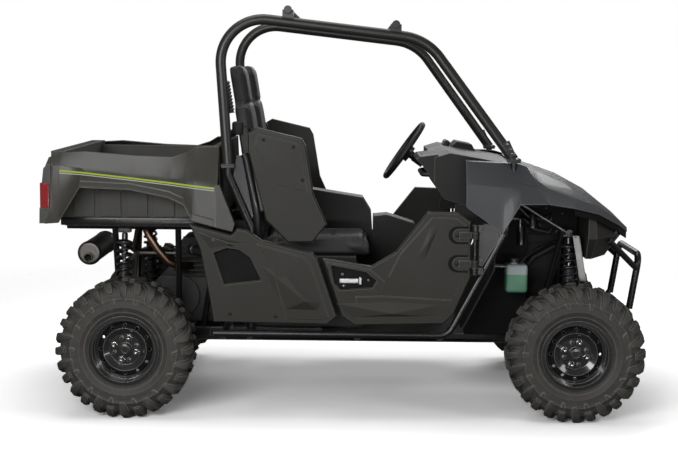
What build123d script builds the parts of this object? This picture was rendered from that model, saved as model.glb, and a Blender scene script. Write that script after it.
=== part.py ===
"""Utility terrain vehicle: two seats under an open roll cage, a fixed cargo box and four driven wheels.

X points forward, Y to the vehicle's left and Z up. The origin is on the ground, under the middle of the
overall length. One side is modelled and the other is its mirror image in the XZ plane.
"""

import os
from math import cos, pi, radians, sin, tan

from build123d import *

# Overall sizes
WHEELBASE = 2126.0
FRONT_OVERHANG = 396.0  # front axle to the guard's foremost point
REAR_OVERHANG = 408.0  # rear axle to the tail
WIDTH = 1524.0  # over the tyres
TYRE_RADIUS = 327.0
TYRE_WIDTH_FRONT = 203.0
TYRE_WIDTH_REAR = 254.0
SEAT_GAP = 0.3  # bolted and resting pieces stop this far short of each other
RUN_GAP = 6.0  # moving pieces stay this far from fixed ones

LENGTH = FRONT_OVERHANG + WHEELBASE + REAR_OVERHANG
X_TAIL = -LENGTH / 2
X_NOSE = LENGTH / 2
X_REAR = X_TAIL + REAR_OVERHANG
X_FRONT = X_NOSE - FRONT_OVERHANG
HALF_WIDTH = WIDTH / 2
Z_AXLE = TYRE_RADIUS

# Wheels
RIM_RADIUS = 152.0
RIM_FLANGE = 15.0
RIM_WALL = 5.0
BEAD_INSET = 24.0  # tyre bead, in from the tyre's side
BEAD_FLARE = 8.0  # room between bead and flange
LUG_HEIGHT = 16.0
LUG_WIDTH = 54.0
LUG_COUNT = 11  # on each shoulder
MOUNT_FACE_INSET = 71.0  # hub face, in from the tyre's outer face
STUD_CIRCLE_RADIUS = 55.0
STUD_COUNT = 4
VENT_COUNT = 12
SPINDLE_RADIUS = 15.0
BRAKE_DISC_RADIUS = 96.0

# Steering
KINGPIN_INSET = 177.0  # in from the tyre's outer face
STEERING_ARM = 100.0
STEERING_WHEEL_RADIUS = 183.0
STEERING_WHEEL_GRIP = 15.0
STEERING_WHEEL_X = X_FRONT - 783.0
STEERING_WHEEL_Z = 1222.0
COLUMN_SLOPE = 35.0

# Frame and cage tubes
RAIL_SIDE = 50.0
RAIL_Y = 230.0
RAIL_Z = 328.0
ROCKER_RADIUS = 16.0
ROCKER_Z = 406.0
CAGE_RADIUS = 25.0
CROSSBAR_RADIUS = 19.0

# Cabin and body
BODY_Y = HALF_WIDTH - 62.0  # outer face of doors and side panels
ROCKER_Y = BODY_Y - 10.0
CAGE_FOOT_Y = BODY_Y - 110.0
CAGE_TOP_Y = BODY_Y - 170.0
DOOR_THICKNESS = 42.0
PANEL = 5.0  # wall of the moulded panels
CONSOLE_HALF = 72.0
SEAT_CLEARANCE = 13.0  # between a cushion and the console
SEAT_OUTER_Y = BODY_Y - 185.0  # outer side of a cushion, clear of the rear uprights
SEAT_WIDTH = SEAT_OUTER_Y - CONSOLE_HALF - SEAT_CLEARANCE
SEAT_Y = SEAT_OUTER_Y - SEAT_WIDTH / 2
FLOOR_Z = 412.0
HINGE_X = X_FRONT - 485.0
HINGE_PIN_RADIUS = 7.0
HINGE_OFFSET = 14.0  # hinge pin, out from the door's face
BOX_HALF_WIDTH = BODY_Y - 180.0
BOX_WALL = 8.0
BOX_FLOOR_Z = 934.0


def rod(start, end, radius):
    """A round bar between two points."""
    axis = Vector(*end) - Vector(*start)
    bar = Cylinder(radius, axis.length, align=(Align.CENTER, Align.CENTER, Align.MIN))
    return Plane(origin=start, z_dir=axis) * bar


def tube(points, radius, bend):
    """A round tube along straight runs joined by arcs of one bend radius."""
    path = FilletPolyline(*points, radius=bend)
    return sweep(Plane(origin=path @ 0, z_dir=path % 0) * Circle(radius), path)


def block(x, y, z):
    """A box between low and high values of x, y and z."""
    size = [high - low for low, high in (x, y, z)]
    return Pos(x[0], y[0], z[0]) * Box(*size, align=(Align.MIN,) * 3)


def side_plate(outline, y_low, y_high):
    """A plate with an outline of (x, z) points, from one y to another."""
    face = make_face(Polyline(*[(x, y_low, z) for x, z in outline], close=True))
    return extrude(face, amount=y_high - y_low, dir=(0, 1, 0))


def cross_plate(outline, x_low, x_high):
    """A plate with an outline of (y, z) points, from one x to another."""
    face = make_face(Polyline(*[(x_low, y, z) for y, z in outline], close=True))
    return extrude(face, amount=x_high - x_low, dir=(1, 0, 0))


def panel(stations, wall):
    """A moulded panel, lofted with its wall inward; a station is a list of (x, y, z) down the outer face."""
    faces = []
    for points in stations:
        last = len(points) - 1
        inner = [(x, y - wall * (i > 0), z - wall * (i < last)) for i, (x, y, z) in enumerate(points)]
        faces.append(make_face(Polyline(*points, *reversed(inner), close=True)))
    return loft(faces, ruled=True)


def front_points(outline):
    """An outline in place, whose x is measured from the front axle."""
    return [(X_FRONT + x, z) for x, z in outline]


def rear_points(outline):
    """An outline in place, whose x is measured from the rear axle."""
    return [(X_REAR + x, z) for x, z in outline]


def raised_field(outline, face_y, height):
    """A raised field on the outer face of a left moulding, chamfered round its edge."""
    pad = side_plate(outline, face_y - 2, face_y + height)
    return chamfer(pad.faces().sort_by(Axis.Y)[-1].outer_wire().edges(), height - 0.5)


def other_side(shape):
    return mirror(shape, about=Plane.XZ)


def pair(shape):
    """A piece on the left and its mirror image on the right."""
    return Compound([*shape.solids(), *other_side(shape).solids()])


def turned(profile):
    """A ring turned about the Y axis from (radius, y) points."""
    face = make_face(Polyline(*[(r, y, 0) for r, y in profile], close=True))
    return revolve(face, Axis.Y)


# Wheels: made at the origin, outer face towards +Y, then carried to their places


def carcass(half):
    """The tyre without its lugs: bead, side wall, shoulder and tread."""
    crown = TYRE_RADIUS - LUG_HEIGHT
    side = [
        (RIM_RADIUS + SEAT_GAP, half - BEAD_INSET),
        (RIM_RADIUS + 50, half - 4),
        (crown - 50, half - 4),
        (crown, half - 42),
    ]
    return turned([(r, -y) for r, y in side] + side[::-1])


def tyre(width):
    """A carcass with a row of lugs on each shoulder that wrap down the side walls."""
    half = width / 2
    crown = TYRE_RADIUS - LUG_HEIGHT
    outline = [
        (8, crown - 6),
        (8, TYRE_RADIUS),
        (half - 34, TYRE_RADIUS),
        (half, TYRE_RADIUS - 30),
        (half, crown - 44),
        (half - 16, crown - 44),
        (half - 50, crown - 8),
    ]
    lug = cross_plate(outline, -LUG_WIDTH / 2, LUG_WIDTH / 2)
    step = 360 / LUG_COUNT
    lugs = []
    for k in range(LUG_COUNT):
        lugs.append(Rot(0, k * step, 0) * lug)
        lugs.append(Rot(0, (k + 0.5) * step, 0) * other_side(lug))
    return carcass(half) + lugs


def wheel_rim(width, face_y):
    """A pressed steel rim: barrel, dished disc with vents, hub sleeve, brake disc and wheel nuts."""
    half = width / 2 - BEAD_INSET + BEAD_FLARE
    outer, lip = RIM_RADIUS, RIM_RADIUS + RIM_FLANGE
    barrel = turned(
        [
            (outer, -half),
            (lip, -half),
            (lip, -half - RIM_WALL),
            (outer - RIM_WALL, -half - RIM_WALL),
            (outer - RIM_WALL, half + RIM_WALL),
            (lip, half + RIM_WALL),
            (lip, half),
            (outer, half),
        ]
    )
    disc = turned(
        [
            (0, face_y),
            (78, face_y),
            (100, face_y + 16),
            (130, face_y - 8),
            (outer - RIM_WALL + 1, face_y - 8),
            (outer - RIM_WALL + 1, face_y),
            (132, face_y),
            (102, face_y + 24),
            (74, face_y + 8),
            (30, face_y + 8),
            (30, face_y + 24),
            (26, face_y + 28),
            (0, face_y + 28),
        ]
    )
    for k in range(VENT_COUNT):
        angle = 2 * pi * k / VENT_COUNT
        disc -= Pos(116 * cos(angle), face_y + 6, 116 * sin(angle)) * Rot(90, 0, 0) * Cylinder(7, 60)
    hub = turned([(0, face_y + 1), (34, face_y + 1), (34, face_y - 58), (0, face_y - 58)])
    brake = turned(
        [
            (20, face_y - 44),
            (BRAKE_DISC_RADIUS, face_y - 44),
            (BRAKE_DISC_RADIUS, face_y - 48),
            (20, face_y - 48),
        ]
    )
    rim = barrel + disc + hub + brake
    for k in range(STUD_COUNT):
        angle = 2 * pi * k / STUD_COUNT + radians(18)
        place = Pos(STUD_CIRCLE_RADIUS * cos(angle), face_y + 8, STUD_CIRCLE_RADIUS * sin(angle))
        nut = extrude(Plane.XZ * RegularPolygon(10, 6), amount=-14)
        rim += place * nut
    bore_end = face_y + 14
    rim -= turned(
        [
            (0, face_y - 60),
            (SPINDLE_RADIUS + SEAT_GAP, face_y - 60),
            (SPINDLE_RADIUS + SEAT_GAP, bore_end),
            (0, bore_end),
        ]
    )
    return rim


def wheel_place(x, width):
    """The middle of a left wheel."""
    return Pos(x, HALF_WIDTH - width / 2, Z_AXLE)


def hub_face_y(width):
    """The hub face, from the middle of the tyre."""
    return width / 2 - MOUNT_FACE_INSET


# Knuckles and hub carriers

KINGPIN_Y = HALF_WIDTH - KINGPIN_INSET
UPPER_ARM_Z = Z_AXLE + 88.0
LOWER_ARM_Z = Z_AXLE - 92.0
ARM_RADIUS = 14.0
JOINT_REACH = 23.0  # ball joint, from the arm's axis to the upright
HUB_FACE_Y = HALF_WIDTH - MOUNT_FACE_INSET


def upright(x):
    """The forged upright of a left wheel: a post between the ball joints, a boss and the wheel's spindle."""
    y_boss = HUB_FACE_Y - 58 - SEAT_GAP
    y_back = KINGPIN_Y - 22
    low = LOWER_ARM_Z + JOINT_REACH + SEAT_GAP
    high = UPPER_ARM_Z - JOINT_REACH - SEAT_GAP
    post = block((x - 24, x + 24), (y_back, KINGPIN_Y + 18), (low, high))
    boss = rod((x, y_back, Z_AXLE), (x, y_boss, Z_AXLE), 44)
    spindle = rod((x, y_boss - 1, Z_AXLE), (x, HUB_FACE_Y + 12, Z_AXLE), SPINDLE_RADIUS)
    return post + boss + spindle


def front_knuckle():
    """The steered upright, with its steering arm to the rear."""
    arm_z = (Z_AXLE - 24, Z_AXLE - 12)
    arm = block((X_FRONT - STEERING_ARM - 16, X_FRONT - 20), (KINGPIN_Y - 14, KINGPIN_Y + 14), arm_z)
    return upright(X_FRONT) + arm


# Suspension

LOWER_PIVOT_Z = RAIL_Z + 2.0
UPPER_RAIL_Z = 480.0
BUSH_RADIUS = 20.0
BUSH_LENGTH = 48.0
PIVOT_Y = RAIL_Y + RAIL_SIDE / 2 + SEAT_GAP + BUSH_RADIUS
ARM_SPREAD = 150.0
ARM_RUN = KINGPIN_Y - PIVOT_Y


def wishbone(x, z_outer, z_inner):
    """A welded arm on the left: two tubes from the frame's pivots to one ball joint facing the upright."""
    facing = 1 if z_outer < Z_AXLE else -1
    joint_ends = sorted((z_outer - facing * ARM_RADIUS, z_outer + facing * JOINT_REACH))
    arm = rod((x, KINGPIN_Y, joint_ends[0]), (x, KINGPIN_Y, joint_ends[1]), 20)
    for side in (-1, 1):
        inner_x = x + side * ARM_SPREAD
        arm += rod((inner_x, PIVOT_Y, z_inner), (x + side * 8, KINGPIN_Y, z_outer), ARM_RADIUS)
        bush = (inner_x - BUSH_LENGTH / 2, inner_x + BUSH_LENGTH / 2)
        arm += rod((bush[0], PIVOT_Y, z_inner), (bush[1], PIVOT_Y, z_inner), BUSH_RADIUS)
    return arm


SHOCK_RADIUS = 40.0
SHOCK_EYE_RADIUS = 15.0
SHOCK_COILS = 7
SHOCK_TOP_Z = 850.0
SHOCK_TOP_Y = KINGPIN_Y - 175.0
SHOCK_FOOT_Y = KINGPIN_Y - 115.0
SHOCK_REAR_SHIFT = 45.0
FOOT_PLATE = 16.0


def arm_z(y):
    """Height of the upper arm's tubes at a distance from the centre line."""
    share = (KINGPIN_Y - y) / ARM_RUN
    return UPPER_ARM_Z + share * (UPPER_RAIL_Z - UPPER_ARM_Z)


SHOCK_FOOT_Z = arm_z(SHOCK_FOOT_Y) + FOOT_PLATE


def shock_arm(x, shock_x):
    """The upper arm, with a plate across its tubes for the shock's foot."""
    z_top = SHOCK_FOOT_Z
    half = 8 + (ARM_SPREAD - 8) * (KINGPIN_Y - SHOCK_FOOT_Y) / ARM_RUN
    plate_y = (SHOCK_FOOT_Y - 20, SHOCK_FOOT_Y + 20)
    plate = block((min(x - half, shock_x - 20), x + half), plate_y, (z_top - FOOT_PLATE, z_top))
    return wishbone(x, UPPER_ARM_Z, UPPER_RAIL_Z) + plate


def shock(x):
    """A coil-over on the left: damper body, spring seats and the coils as turned rings."""
    lean = (SHOCK_FOOT_Y - SHOCK_TOP_Y) / (SHOCK_TOP_Z - SHOCK_FOOT_Z)
    end_gap = SEAT_GAP + SHOCK_EYE_RADIUS * lean
    top = Vector(x, SHOCK_TOP_Y, SHOCK_TOP_Z - end_gap)
    foot = Vector(x, SHOCK_FOOT_Y, SHOCK_FOOT_Z + end_gap)
    axis = top - foot
    eye = 40.0
    seat = 7.0
    body = SHOCK_RADIUS * 0.55
    coils = axis.length - 2 * eye - 2 * seat
    pitch = coils / SHOCK_COILS
    wire = pitch * 0.24
    profile = [(0, 0), (SHOCK_EYE_RADIUS, 0), (SHOCK_EYE_RADIUS, eye), (SHOCK_RADIUS, eye)]
    profile += [(SHOCK_RADIUS, eye + seat), (body, eye + seat)]
    for k in range(SHOCK_COILS):
        z = eye + seat + (k + 0.5) * pitch
        edge = SHOCK_RADIUS - 3
        profile += [(body, z - wire), (edge, z - wire), (edge, z + wire), (body, z + wire)]
    z_top = eye + seat + coils
    profile += [(body, z_top), (SHOCK_RADIUS, z_top), (SHOCK_RADIUS, z_top + seat)]
    profile += [(SHOCK_EYE_RADIUS, z_top + seat), (SHOCK_EYE_RADIUS, axis.length), (0, axis.length)]
    face = make_face(Polyline(*[(r, 0, z) for r, z in profile], close=True))
    return Plane(origin=foot, z_dir=axis) * revolve(face, Axis.Z)


# Drive line

DRIVE_Z = 428.0
DRIVE_HALF = 105.0
SHAFT_RADIUS = 12.0
RAIL_TOP = RAIL_Z + RAIL_SIDE / 2
RAIL_LOW = RAIL_Z - RAIL_SIDE / 2
BEARER = 18.0  # height of the bearers that carry engine and drive cases on the rails


def final_drive(x, half_length, joint_y):
    """A drive case between the rails with a half shaft to each wheel."""
    low = RAIL_TOP + BEARER + SEAT_GAP
    case = block((x - half_length, x + half_length), (-DRIVE_HALF, DRIVE_HALF), (low, DRIVE_Z + 50))
    case = fillet(case.edges().filter_by(Axis.Y), 22)
    left = rod((x, DRIVE_HALF - 2, DRIVE_Z), (x, DRIVE_HALF + 36, DRIVE_Z), 34)
    left += rod((x, DRIVE_HALF + 20, DRIVE_Z), (x, joint_y - 20, Z_AXLE), SHAFT_RADIUS)
    left += rod((x, joint_y - 48, Z_AXLE), (x, joint_y, Z_AXLE), 30)
    return case + left + other_side(left)


ENGINE_X = (X_REAR + 72.0, X_REAR + 417.0)
ENGINE_HALF = 185.0
ENGINE_TOP = 790.0


def engine():
    """The engine and belt drive as a crankcase, an inclined cylinder and a drive cover."""
    low = RAIL_TOP + BEARER + SEAT_GAP
    x_low, x_high = ENGINE_X
    case = block((x_low, x_high), (-ENGINE_HALF, ENGINE_HALF), (low, 600))
    case = fillet(case.edges().filter_by(Axis.Y), 40)
    top = block((x_low + 120, x_high - 60), (-110, 130), (590, ENGINE_TOP))
    cover = rod((x_low + 120, -ENGINE_HALF + 1, 500), (x_low + 120, -ENGINE_HALF - 20, 500), 105)
    return case + fillet(top.edges().filter_by(Axis.Y), 24) + cover


# Frame

CROSS_TUBE_Z = 390.0
CROSS_TUBE_RADIUS = 16.0
UPRIGHT_X = X_REAR + 587.0
UPRIGHT_Y = CAGE_FOOT_Y
UPRIGHT_RADIUS = 20.0
CAGE_REAR_X = X_REAR + 477.0
CAGE_REAR_Z = 1196.0
CAGE_FOOT_X = X_FRONT - 298.0
CAGE_FOOT_Z = 1232.0
FLANGE = 8.0
RAIL_FRONT_X = X_FRONT + 221.0
RAIL_SPLIT_X = X_FRONT - 219.0
RAIL_BACK_X = X_REAR + 357.0
RAIL_REAR_X = X_TAIL + 165.0
TOP_RAIL_Y = SHOCK_TOP_Y - 10.0
TOP_RAIL_Z = 882.0
TOP_RAIL_RADIUS = 19.0


def rails(x_low, x_high, z):
    """The two square rails between two x values."""
    half = RAIL_SIDE / 2
    left = block((x_low, x_high), (RAIL_Y - half, RAIL_Y + half), (z - half, z + half))
    return left + other_side(left)


def rail_bearer(x, half_length):
    """A bearer across the rails under an engine or drive case."""
    y = RAIL_Y + RAIL_SIDE / 2
    return block((x - half_length, x + half_length), (-y, y), (RAIL_TOP - 6, RAIL_TOP + BEARER))


HINGE_Y = BODY_Y + HINGE_OFFSET
HINGE_Z = (700.0, 936.0)
HINGE_BARREL = 16.0
HINGE_PLATE_Y = (BODY_Y - 48.0, BODY_Y - 36.0)
BOLSTER_Y = (UPRIGHT_Y - 10.0, UPRIGHT_Y + 30.0)


CROSS_TUBES_X = (X_REAR + 457.0, UPRIGHT_X, X_REAR + 1097.0, X_FRONT - 639.0)


def frame_centre():
    """The rails and the cross tubes that carry rockers, floor and uprights."""
    frame = rails(RAIL_BACK_X, RAIL_SPLIT_X, RAIL_Z)
    half = ROCKER_Y - ROCKER_RADIUS - SEAT_GAP
    for x in CROSS_TUBES_X:
        frame += rod((x, -half, CROSS_TUBE_Z), (x, half, CROSS_TUBE_Z), CROSS_TUBE_RADIUS)
        post = block((x - 14, x + 14), (RAIL_Y - 20, RAIL_Y + 20), (RAIL_Z, CROSS_TUBE_Z))
        frame += post + other_side(post)
    return frame


SWEEP_BEND = (X_FRONT - 340.0, BODY_Y - 50.0, 890.0)  # bend of the rocker tube below the front fender


def rocker_tube():
    """The left rocker tube, swept up to the cage's front foot, with the door's hinge plate and pin."""
    foot_z = CAGE_FOOT_Z - FLANGE / 2 - SEAT_GAP
    points = [
        (X_REAR + 417, ROCKER_Y, ROCKER_Z),
        (X_FRONT - 602, ROCKER_Y, ROCKER_Z),
        SWEEP_BEND,
        (CAGE_FOOT_X, CAGE_FOOT_Y, 1090),
        (CAGE_FOOT_X, CAGE_FOOT_Y, foot_z),
    ]
    side = tube(points, ROCKER_RADIUS, 70)
    flange_y = (CAGE_FOOT_Y - 28, CAGE_FOOT_Y + 28)
    side += block((CAGE_FOOT_X - 30, CAGE_FOOT_X + 30), flange_y, (foot_z - FLANGE, foot_z))
    stub_x = X_FRONT - 319
    side += rod((stub_x, BODY_Y - 80, 990), (stub_x, BODY_Y - 31, 990), 10)
    hinge_x = HINGE_X + 24
    plate = [(0, 700), (0, 936), (132, 936), (56, 760), (32, 700)]
    hinge_plate = [(hinge_x + x, z) for x, z in plate]
    side += side_plate(hinge_plate, *HINGE_PLATE_Y)
    for z in HINGE_Z:
        low, high = (z, z + 34) if z == HINGE_Z[0] else (z - 34, z)
        side += block((HINGE_X - 4, HINGE_X + 40), (HINGE_PLATE_Y[0], HINGE_Y), (low, high))
        side += rod((HINGE_X, HINGE_Y, low), (HINGE_X, HINGE_Y, high), HINGE_BARREL)
    return side + rod((HINGE_X, HINGE_Y, HINGE_Z[0]), (HINGE_X, HINGE_Y, HINGE_Z[1]), HINGE_PIN_RADIUS)


def rear_upright():
    """The left upright behind the door, up to the cage's rear foot, with the shoulder bolster's gusset."""
    top_z = CAGE_REAR_Z - FLANGE / 2 - SEAT_GAP
    points = [
        (UPRIGHT_X, UPRIGHT_Y, CROSS_TUBE_Z + CROSS_TUBE_RADIUS + SEAT_GAP),
        (UPRIGHT_X, UPRIGHT_Y, 900),
        (CAGE_REAR_X, UPRIGHT_Y, 1150),
        (CAGE_REAR_X, UPRIGHT_Y, top_z),
    ]
    side = tube(points, UPRIGHT_RADIUS, 40)
    flange_y = (UPRIGHT_Y - 30, UPRIGHT_Y + 30)
    side += block((CAGE_REAR_X - 30, CAGE_REAR_X + 30), flange_y, (top_z - FLANGE, top_z))
    gusset = [(577, 930), (497, 1120), (517, 1240), (602, 1240), (657, 990)]
    side += side_plate(rear_points(gusset), BOLSTER_Y[0] - SEAT_GAP - 14, BOLSTER_Y[0] - SEAT_GAP)
    for z in (520, 700):
        side += rod((UPRIGHT_X, UPRIGHT_Y, z), (UPRIGHT_X, BODY_Y - DOOR_THICKNESS - SEAT_GAP, z), 12)
    return side


def cabin_frame():
    """The rocker tube and the rear upright on the left."""
    return Compound([*rocker_tube().solids(), *rear_upright().solids()])


TOWER_X = 95.0
NOSE_BACK_X = X_FRONT + 69.0
SHOCK_BRACKET = 12.0
STAY_Y = SHOCK_FOOT_Y + 10.0


def frame_front():
    """Front rails, shock towers and the steering rack's housing."""
    frame = rails(RAIL_SPLIT_X + SEAT_GAP, RAIL_FRONT_X, RAIL_Z)
    frame += rails(RAIL_SPLIT_X + 30, RAIL_FRONT_X - 20, UPPER_RAIL_Z)
    frame += rail_bearer(X_FRONT, 50)
    tower_z = SHOCK_TOP_Z + SHOCK_BRACKET
    for x in (RAIL_SPLIT_X + 55, RAIL_FRONT_X - 45):
        post = block((x - 20, x + 20), (RAIL_Y - 20, RAIL_Y + 20), (RAIL_Z, UPPER_RAIL_Z))
        frame += post + other_side(post)
        frame += rod((x, -RAIL_Y, UPPER_RAIL_Z), (x, RAIL_Y, UPPER_RAIL_Z), 16)
    frame += rod((X_FRONT, -SHOCK_TOP_Y - 24, tower_z + 6), (X_FRONT, SHOCK_TOP_Y + 24, tower_z + 6), 18)
    for side in (-1, 1):
        y = side * SHOCK_TOP_Y
        bracket_y = (y - 26, y + 26)
        frame += block((X_FRONT - 30, X_FRONT + 30), bracket_y, (SHOCK_TOP_Z, SHOCK_TOP_Z + SHOCK_BRACKET))
        for lean in (-1, 1):
            foot = (X_FRONT + lean * TOWER_X, side * RAIL_Y, UPPER_RAIL_Z)
            frame += rod(foot, (X_FRONT + lean * 14, side * (SHOCK_TOP_Y - 90), tower_z + 6), 16)
        nose_y = side * (SHOCK_TOP_Y - 106)
        frame += rod((X_FRONT + 28, nose_y, 800), (NOSE_BACK_X - SEAT_GAP, nose_y, 800), 12)
    stay = side_plate(front_points([(7, 862), (39, 862), (79, 640), (47, 640)]), STAY_Y - 2.5, STAY_Y + 2.5)
    stay += rod((X_FRONT + 12, SHOCK_TOP_Y + 14, tower_z + 6), (X_FRONT + 24, STAY_Y + 2, SHOCK_TOP_Z), 8)
    stay += rod((X_FRONT + 63, STAY_Y, 646), (X_FRONT + 81, RAIL_Y + 10, UPPER_RAIL_Z + 10), 9)
    frame += stay + other_side(stay)
    x_rack = X_FRONT - STEERING_ARM
    frame += rod((x_rack, -RACK_HALF, RACK_Z), (x_rack, RACK_HALF, RACK_Z), RACK_RADIUS + 14)
    frame += block((x_rack - 24, x_rack + 24), (-RAIL_Y, RAIL_Y), (RAIL_TOP - 6, RAIL_TOP + 12))
    frame += block((x_rack - 18, x_rack + 18), (-60, 60), (RAIL_TOP, RACK_Z))
    return frame - rod((x_rack, -600, RACK_Z), (x_rack, 600, RACK_Z), RACK_RADIUS + SEAT_GAP)


BOX_X = (X_TAIL + 60.0, X_REAR + 432.0)
BOX_SIDE_Z = 1226.0
BOX_END_Z = 1250.0
BOX_FRONT_Z = 1282.0
BOX_BEARER_X = (X_TAIL + 105.0, X_REAR + 47.0, X_REAR + 357.0)
HITCH_Z = 400.0
HITCH_SIDE = 63.5
HITCH_MOUTH = 51.0
HITCH_PIN_RADIUS = 8.2
HITCH_X = X_TAIL + 25.0


STRUTS = (
    # x at the lower rail, x at the upper rail, both from the rear axle
    (317, 417),
    (200, 215),
    (-95, -95),
)


def frame_rear():
    """Rear rails with the arms' upper rails, the bearers of engine and drive, and the tail's cross member."""
    frame = rails(RAIL_REAR_X, RAIL_BACK_X - SEAT_GAP, RAIL_Z)
    frame += rails(X_REAR - 190, X_REAR + 190, UPPER_RAIL_Z)
    for x in (X_REAR - 165, X_REAR + 165):
        post = block((x - 20, x + 20), (RAIL_Y - 20, RAIL_Y + 20), (RAIL_Z, UPPER_RAIL_Z))
        frame += post + other_side(post)
    frame += rail_bearer(X_REAR, 40)
    for x in (ENGINE_X[0] + 60, ENGINE_X[1] - 160):
        frame += rail_bearer(x, 22)
    x_cross = RAIL_REAR_X + 30
    frame += block((x_cross - 30, x_cross + 20), (-RAIL_Y, RAIL_Y), (RAIL_LOW, RAIL_TOP))
    half = HITCH_SIDE / 2
    return frame + block((x_cross - 30, x_cross + 20), (-60, 60), (RAIL_Z, HITCH_Z + half))


def top_rail(x_low, x_high, radius):
    """A length of the left rail under the cargo box."""
    return rod((x_low, TOP_RAIL_Y, TOP_RAIL_Z), (x_high, TOP_RAIL_Y, TOP_RAIL_Z), radius)


def rear_strut(foot_x, head_x):
    """A strut on the left, from the lower rail up to the cargo box's rail."""
    strut = rod((foot_x, RAIL_Y + 10, RAIL_Z), (head_x, TOP_RAIL_Y, TOP_RAIL_Z), 15)
    strut -= top_rail(BOX_X[0], UPRIGHT_X, TOP_RAIL_RADIUS + SEAT_GAP)
    below = (RAIL_Z - 60, RAIL_TOP + SEAT_GAP)
    return strut - block((foot_x - 60, foot_x + 60), (RAIL_Y - 60, RAIL_Y + 60), below)


def box_frame():
    """The upper rails under the cargo box with their bearers, shock brackets and struts."""
    side = top_rail(BOX_X[0] + 20, UPRIGHT_X - 50, TOP_RAIL_RADIUS)
    x = X_REAR - SHOCK_REAR_SHIFT
    bracket_y = (SHOCK_TOP_Y - 26, SHOCK_TOP_Y + 26)
    side += block((x - 30, x + 30), bracket_y, (SHOCK_TOP_Z, SHOCK_TOP_Z + 20))
    side += rod((UPRIGHT_X - 46, TOP_RAIL_Y, TOP_RAIL_Z), (UPRIGHT_X - 46, UPRIGHT_Y - 24, TOP_RAIL_Z), 15)
    pieces = [*side.solids(), *other_side(side).solids()]
    seat = top_rail(BOX_X[0], UPRIGHT_X, TOP_RAIL_RADIUS + SEAT_GAP)
    bearer_half = TOP_RAIL_Y + 70
    bearer_z = (TOP_RAIL_Z + 4, BOX_FLOOR_Z - SEAT_GAP)
    for x in BOX_BEARER_X:
        bearer = block((x - 25, x + 25), (-bearer_half, bearer_half), bearer_z)
        pieces += (bearer - seat - other_side(seat)).solids()
    for foot_x, head_x in STRUTS:
        strut = rear_strut(X_REAR + foot_x, X_REAR + head_x)
        pieces += [*strut.solids(), *other_side(strut).solids()]
    return Compound(pieces)


def hitch_receiver():
    """A square receiver tube with a cross hole for its pin."""
    half, mouth = HITCH_SIDE / 2, HITCH_MOUTH / 2
    x_high = RAIL_REAR_X - SEAT_GAP
    z_mid = HITCH_Z
    tube_out = block((HITCH_X, x_high), (-half, half), (z_mid - half, z_mid + half))
    tube_in = block((HITCH_X - 1, x_high - 8), (-mouth, mouth), (z_mid - mouth, z_mid + mouth))
    x_pin = HITCH_X + 45
    hole = rod((x_pin, -60, z_mid), (x_pin, 60, z_mid), HITCH_PIN_RADIUS)
    return tube_out - tube_in - hole


def skid_plate():
    """A flat plate under the rails."""
    return block((RAIL_BACK_X - 250, RAIL_FRONT_X), (-300, 300), (RAIL_LOW - 6, RAIL_LOW - SEAT_GAP))


# Steering

RACK_Z = 400.0
RACK_HALF = 150.0
RACK_RADIUS = 10.0
ROD_END_LOW = Z_AXLE - 12 + 1.5


def tie_rods():
    """The rack bar and its two rods, down to the ends of the steering arms."""
    x = X_FRONT - STEERING_ARM
    bar = rod((x, -290, RACK_Z), (x, 290, RACK_Z), RACK_RADIUS)
    end = rod((x, KINGPIN_Y, ROD_END_LOW), (x, KINGPIN_Y, ROD_END_LOW + 24), 12)
    end += rod((x, 286, RACK_Z), (x, KINGPIN_Y, ROD_END_LOW + 12), 8)
    end += Pos(x, 288, RACK_Z) * Sphere(13)
    return bar + end + other_side(end)


STEERING_Y = SEAT_Y
COLUMN_DIR = Vector(cos(radians(COLUMN_SLOPE)), 0, -sin(radians(COLUMN_SLOPE)))
COLUMN_RADIUS = 22.0
COLUMN_START = 60.0
STEERING_CENTRE = Vector(STEERING_WHEEL_X, STEERING_Y, STEERING_WHEEL_Z)
STEERING_PLANE = Plane(origin=STEERING_CENTRE, z_dir=COLUMN_DIR * -1, x_dir=(0, 1, 0))


def steering_wheel():
    """A rim, three spokes and a padded hub on a short shaft."""
    wheel = Torus(STEERING_WHEEL_RADIUS - STEERING_WHEEL_GRIP, STEERING_WHEEL_GRIP)
    wheel += Pos(0, 0, -26) * Cylinder(44, 30)
    for angle in (0, 180, 90):
        spoke = Pos(STEERING_WHEEL_RADIUS / 2, 0, -14) * Box(STEERING_WHEEL_RADIUS - 32, 34, 8)
        wheel += Rot(0, 0, angle) * spoke
    wheel += Pos(0, 0, -60) * Cylinder(SPINDLE_RADIUS, 70)
    return STEERING_PLANE * wheel


def steering_column():
    """The fixed jacket, from the wheel's hub to the dash."""
    start = COLUMN_START
    slope = radians(COLUMN_SLOPE)
    end = (DASH_REAR_X - STEERING_WHEEL_X) / cos(slope) - COLUMN_RADIUS * tan(slope)
    jacket = rod((0, 0, -start), (0, 0, -end + 1), COLUMN_RADIUS)
    jacket -= rod((0, 0, 0), (0, 0, -100), SPINDLE_RADIUS + SEAT_GAP)
    return STEERING_PLANE * jacket


# Cabin

FLOOR_WALL = 5.7
FLOOR_HALF = BODY_Y - 45.0
FIREWALL_HALF = BODY_Y - 140.0
FLOOR_X = (X_REAR + 927.0, X_FRONT - 524.0)
FIREWALL_X = X_FRONT - 379.0
FIREWALL_BEND_Z = 700.0
DASH_LOW_Z = 1003.0


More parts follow.
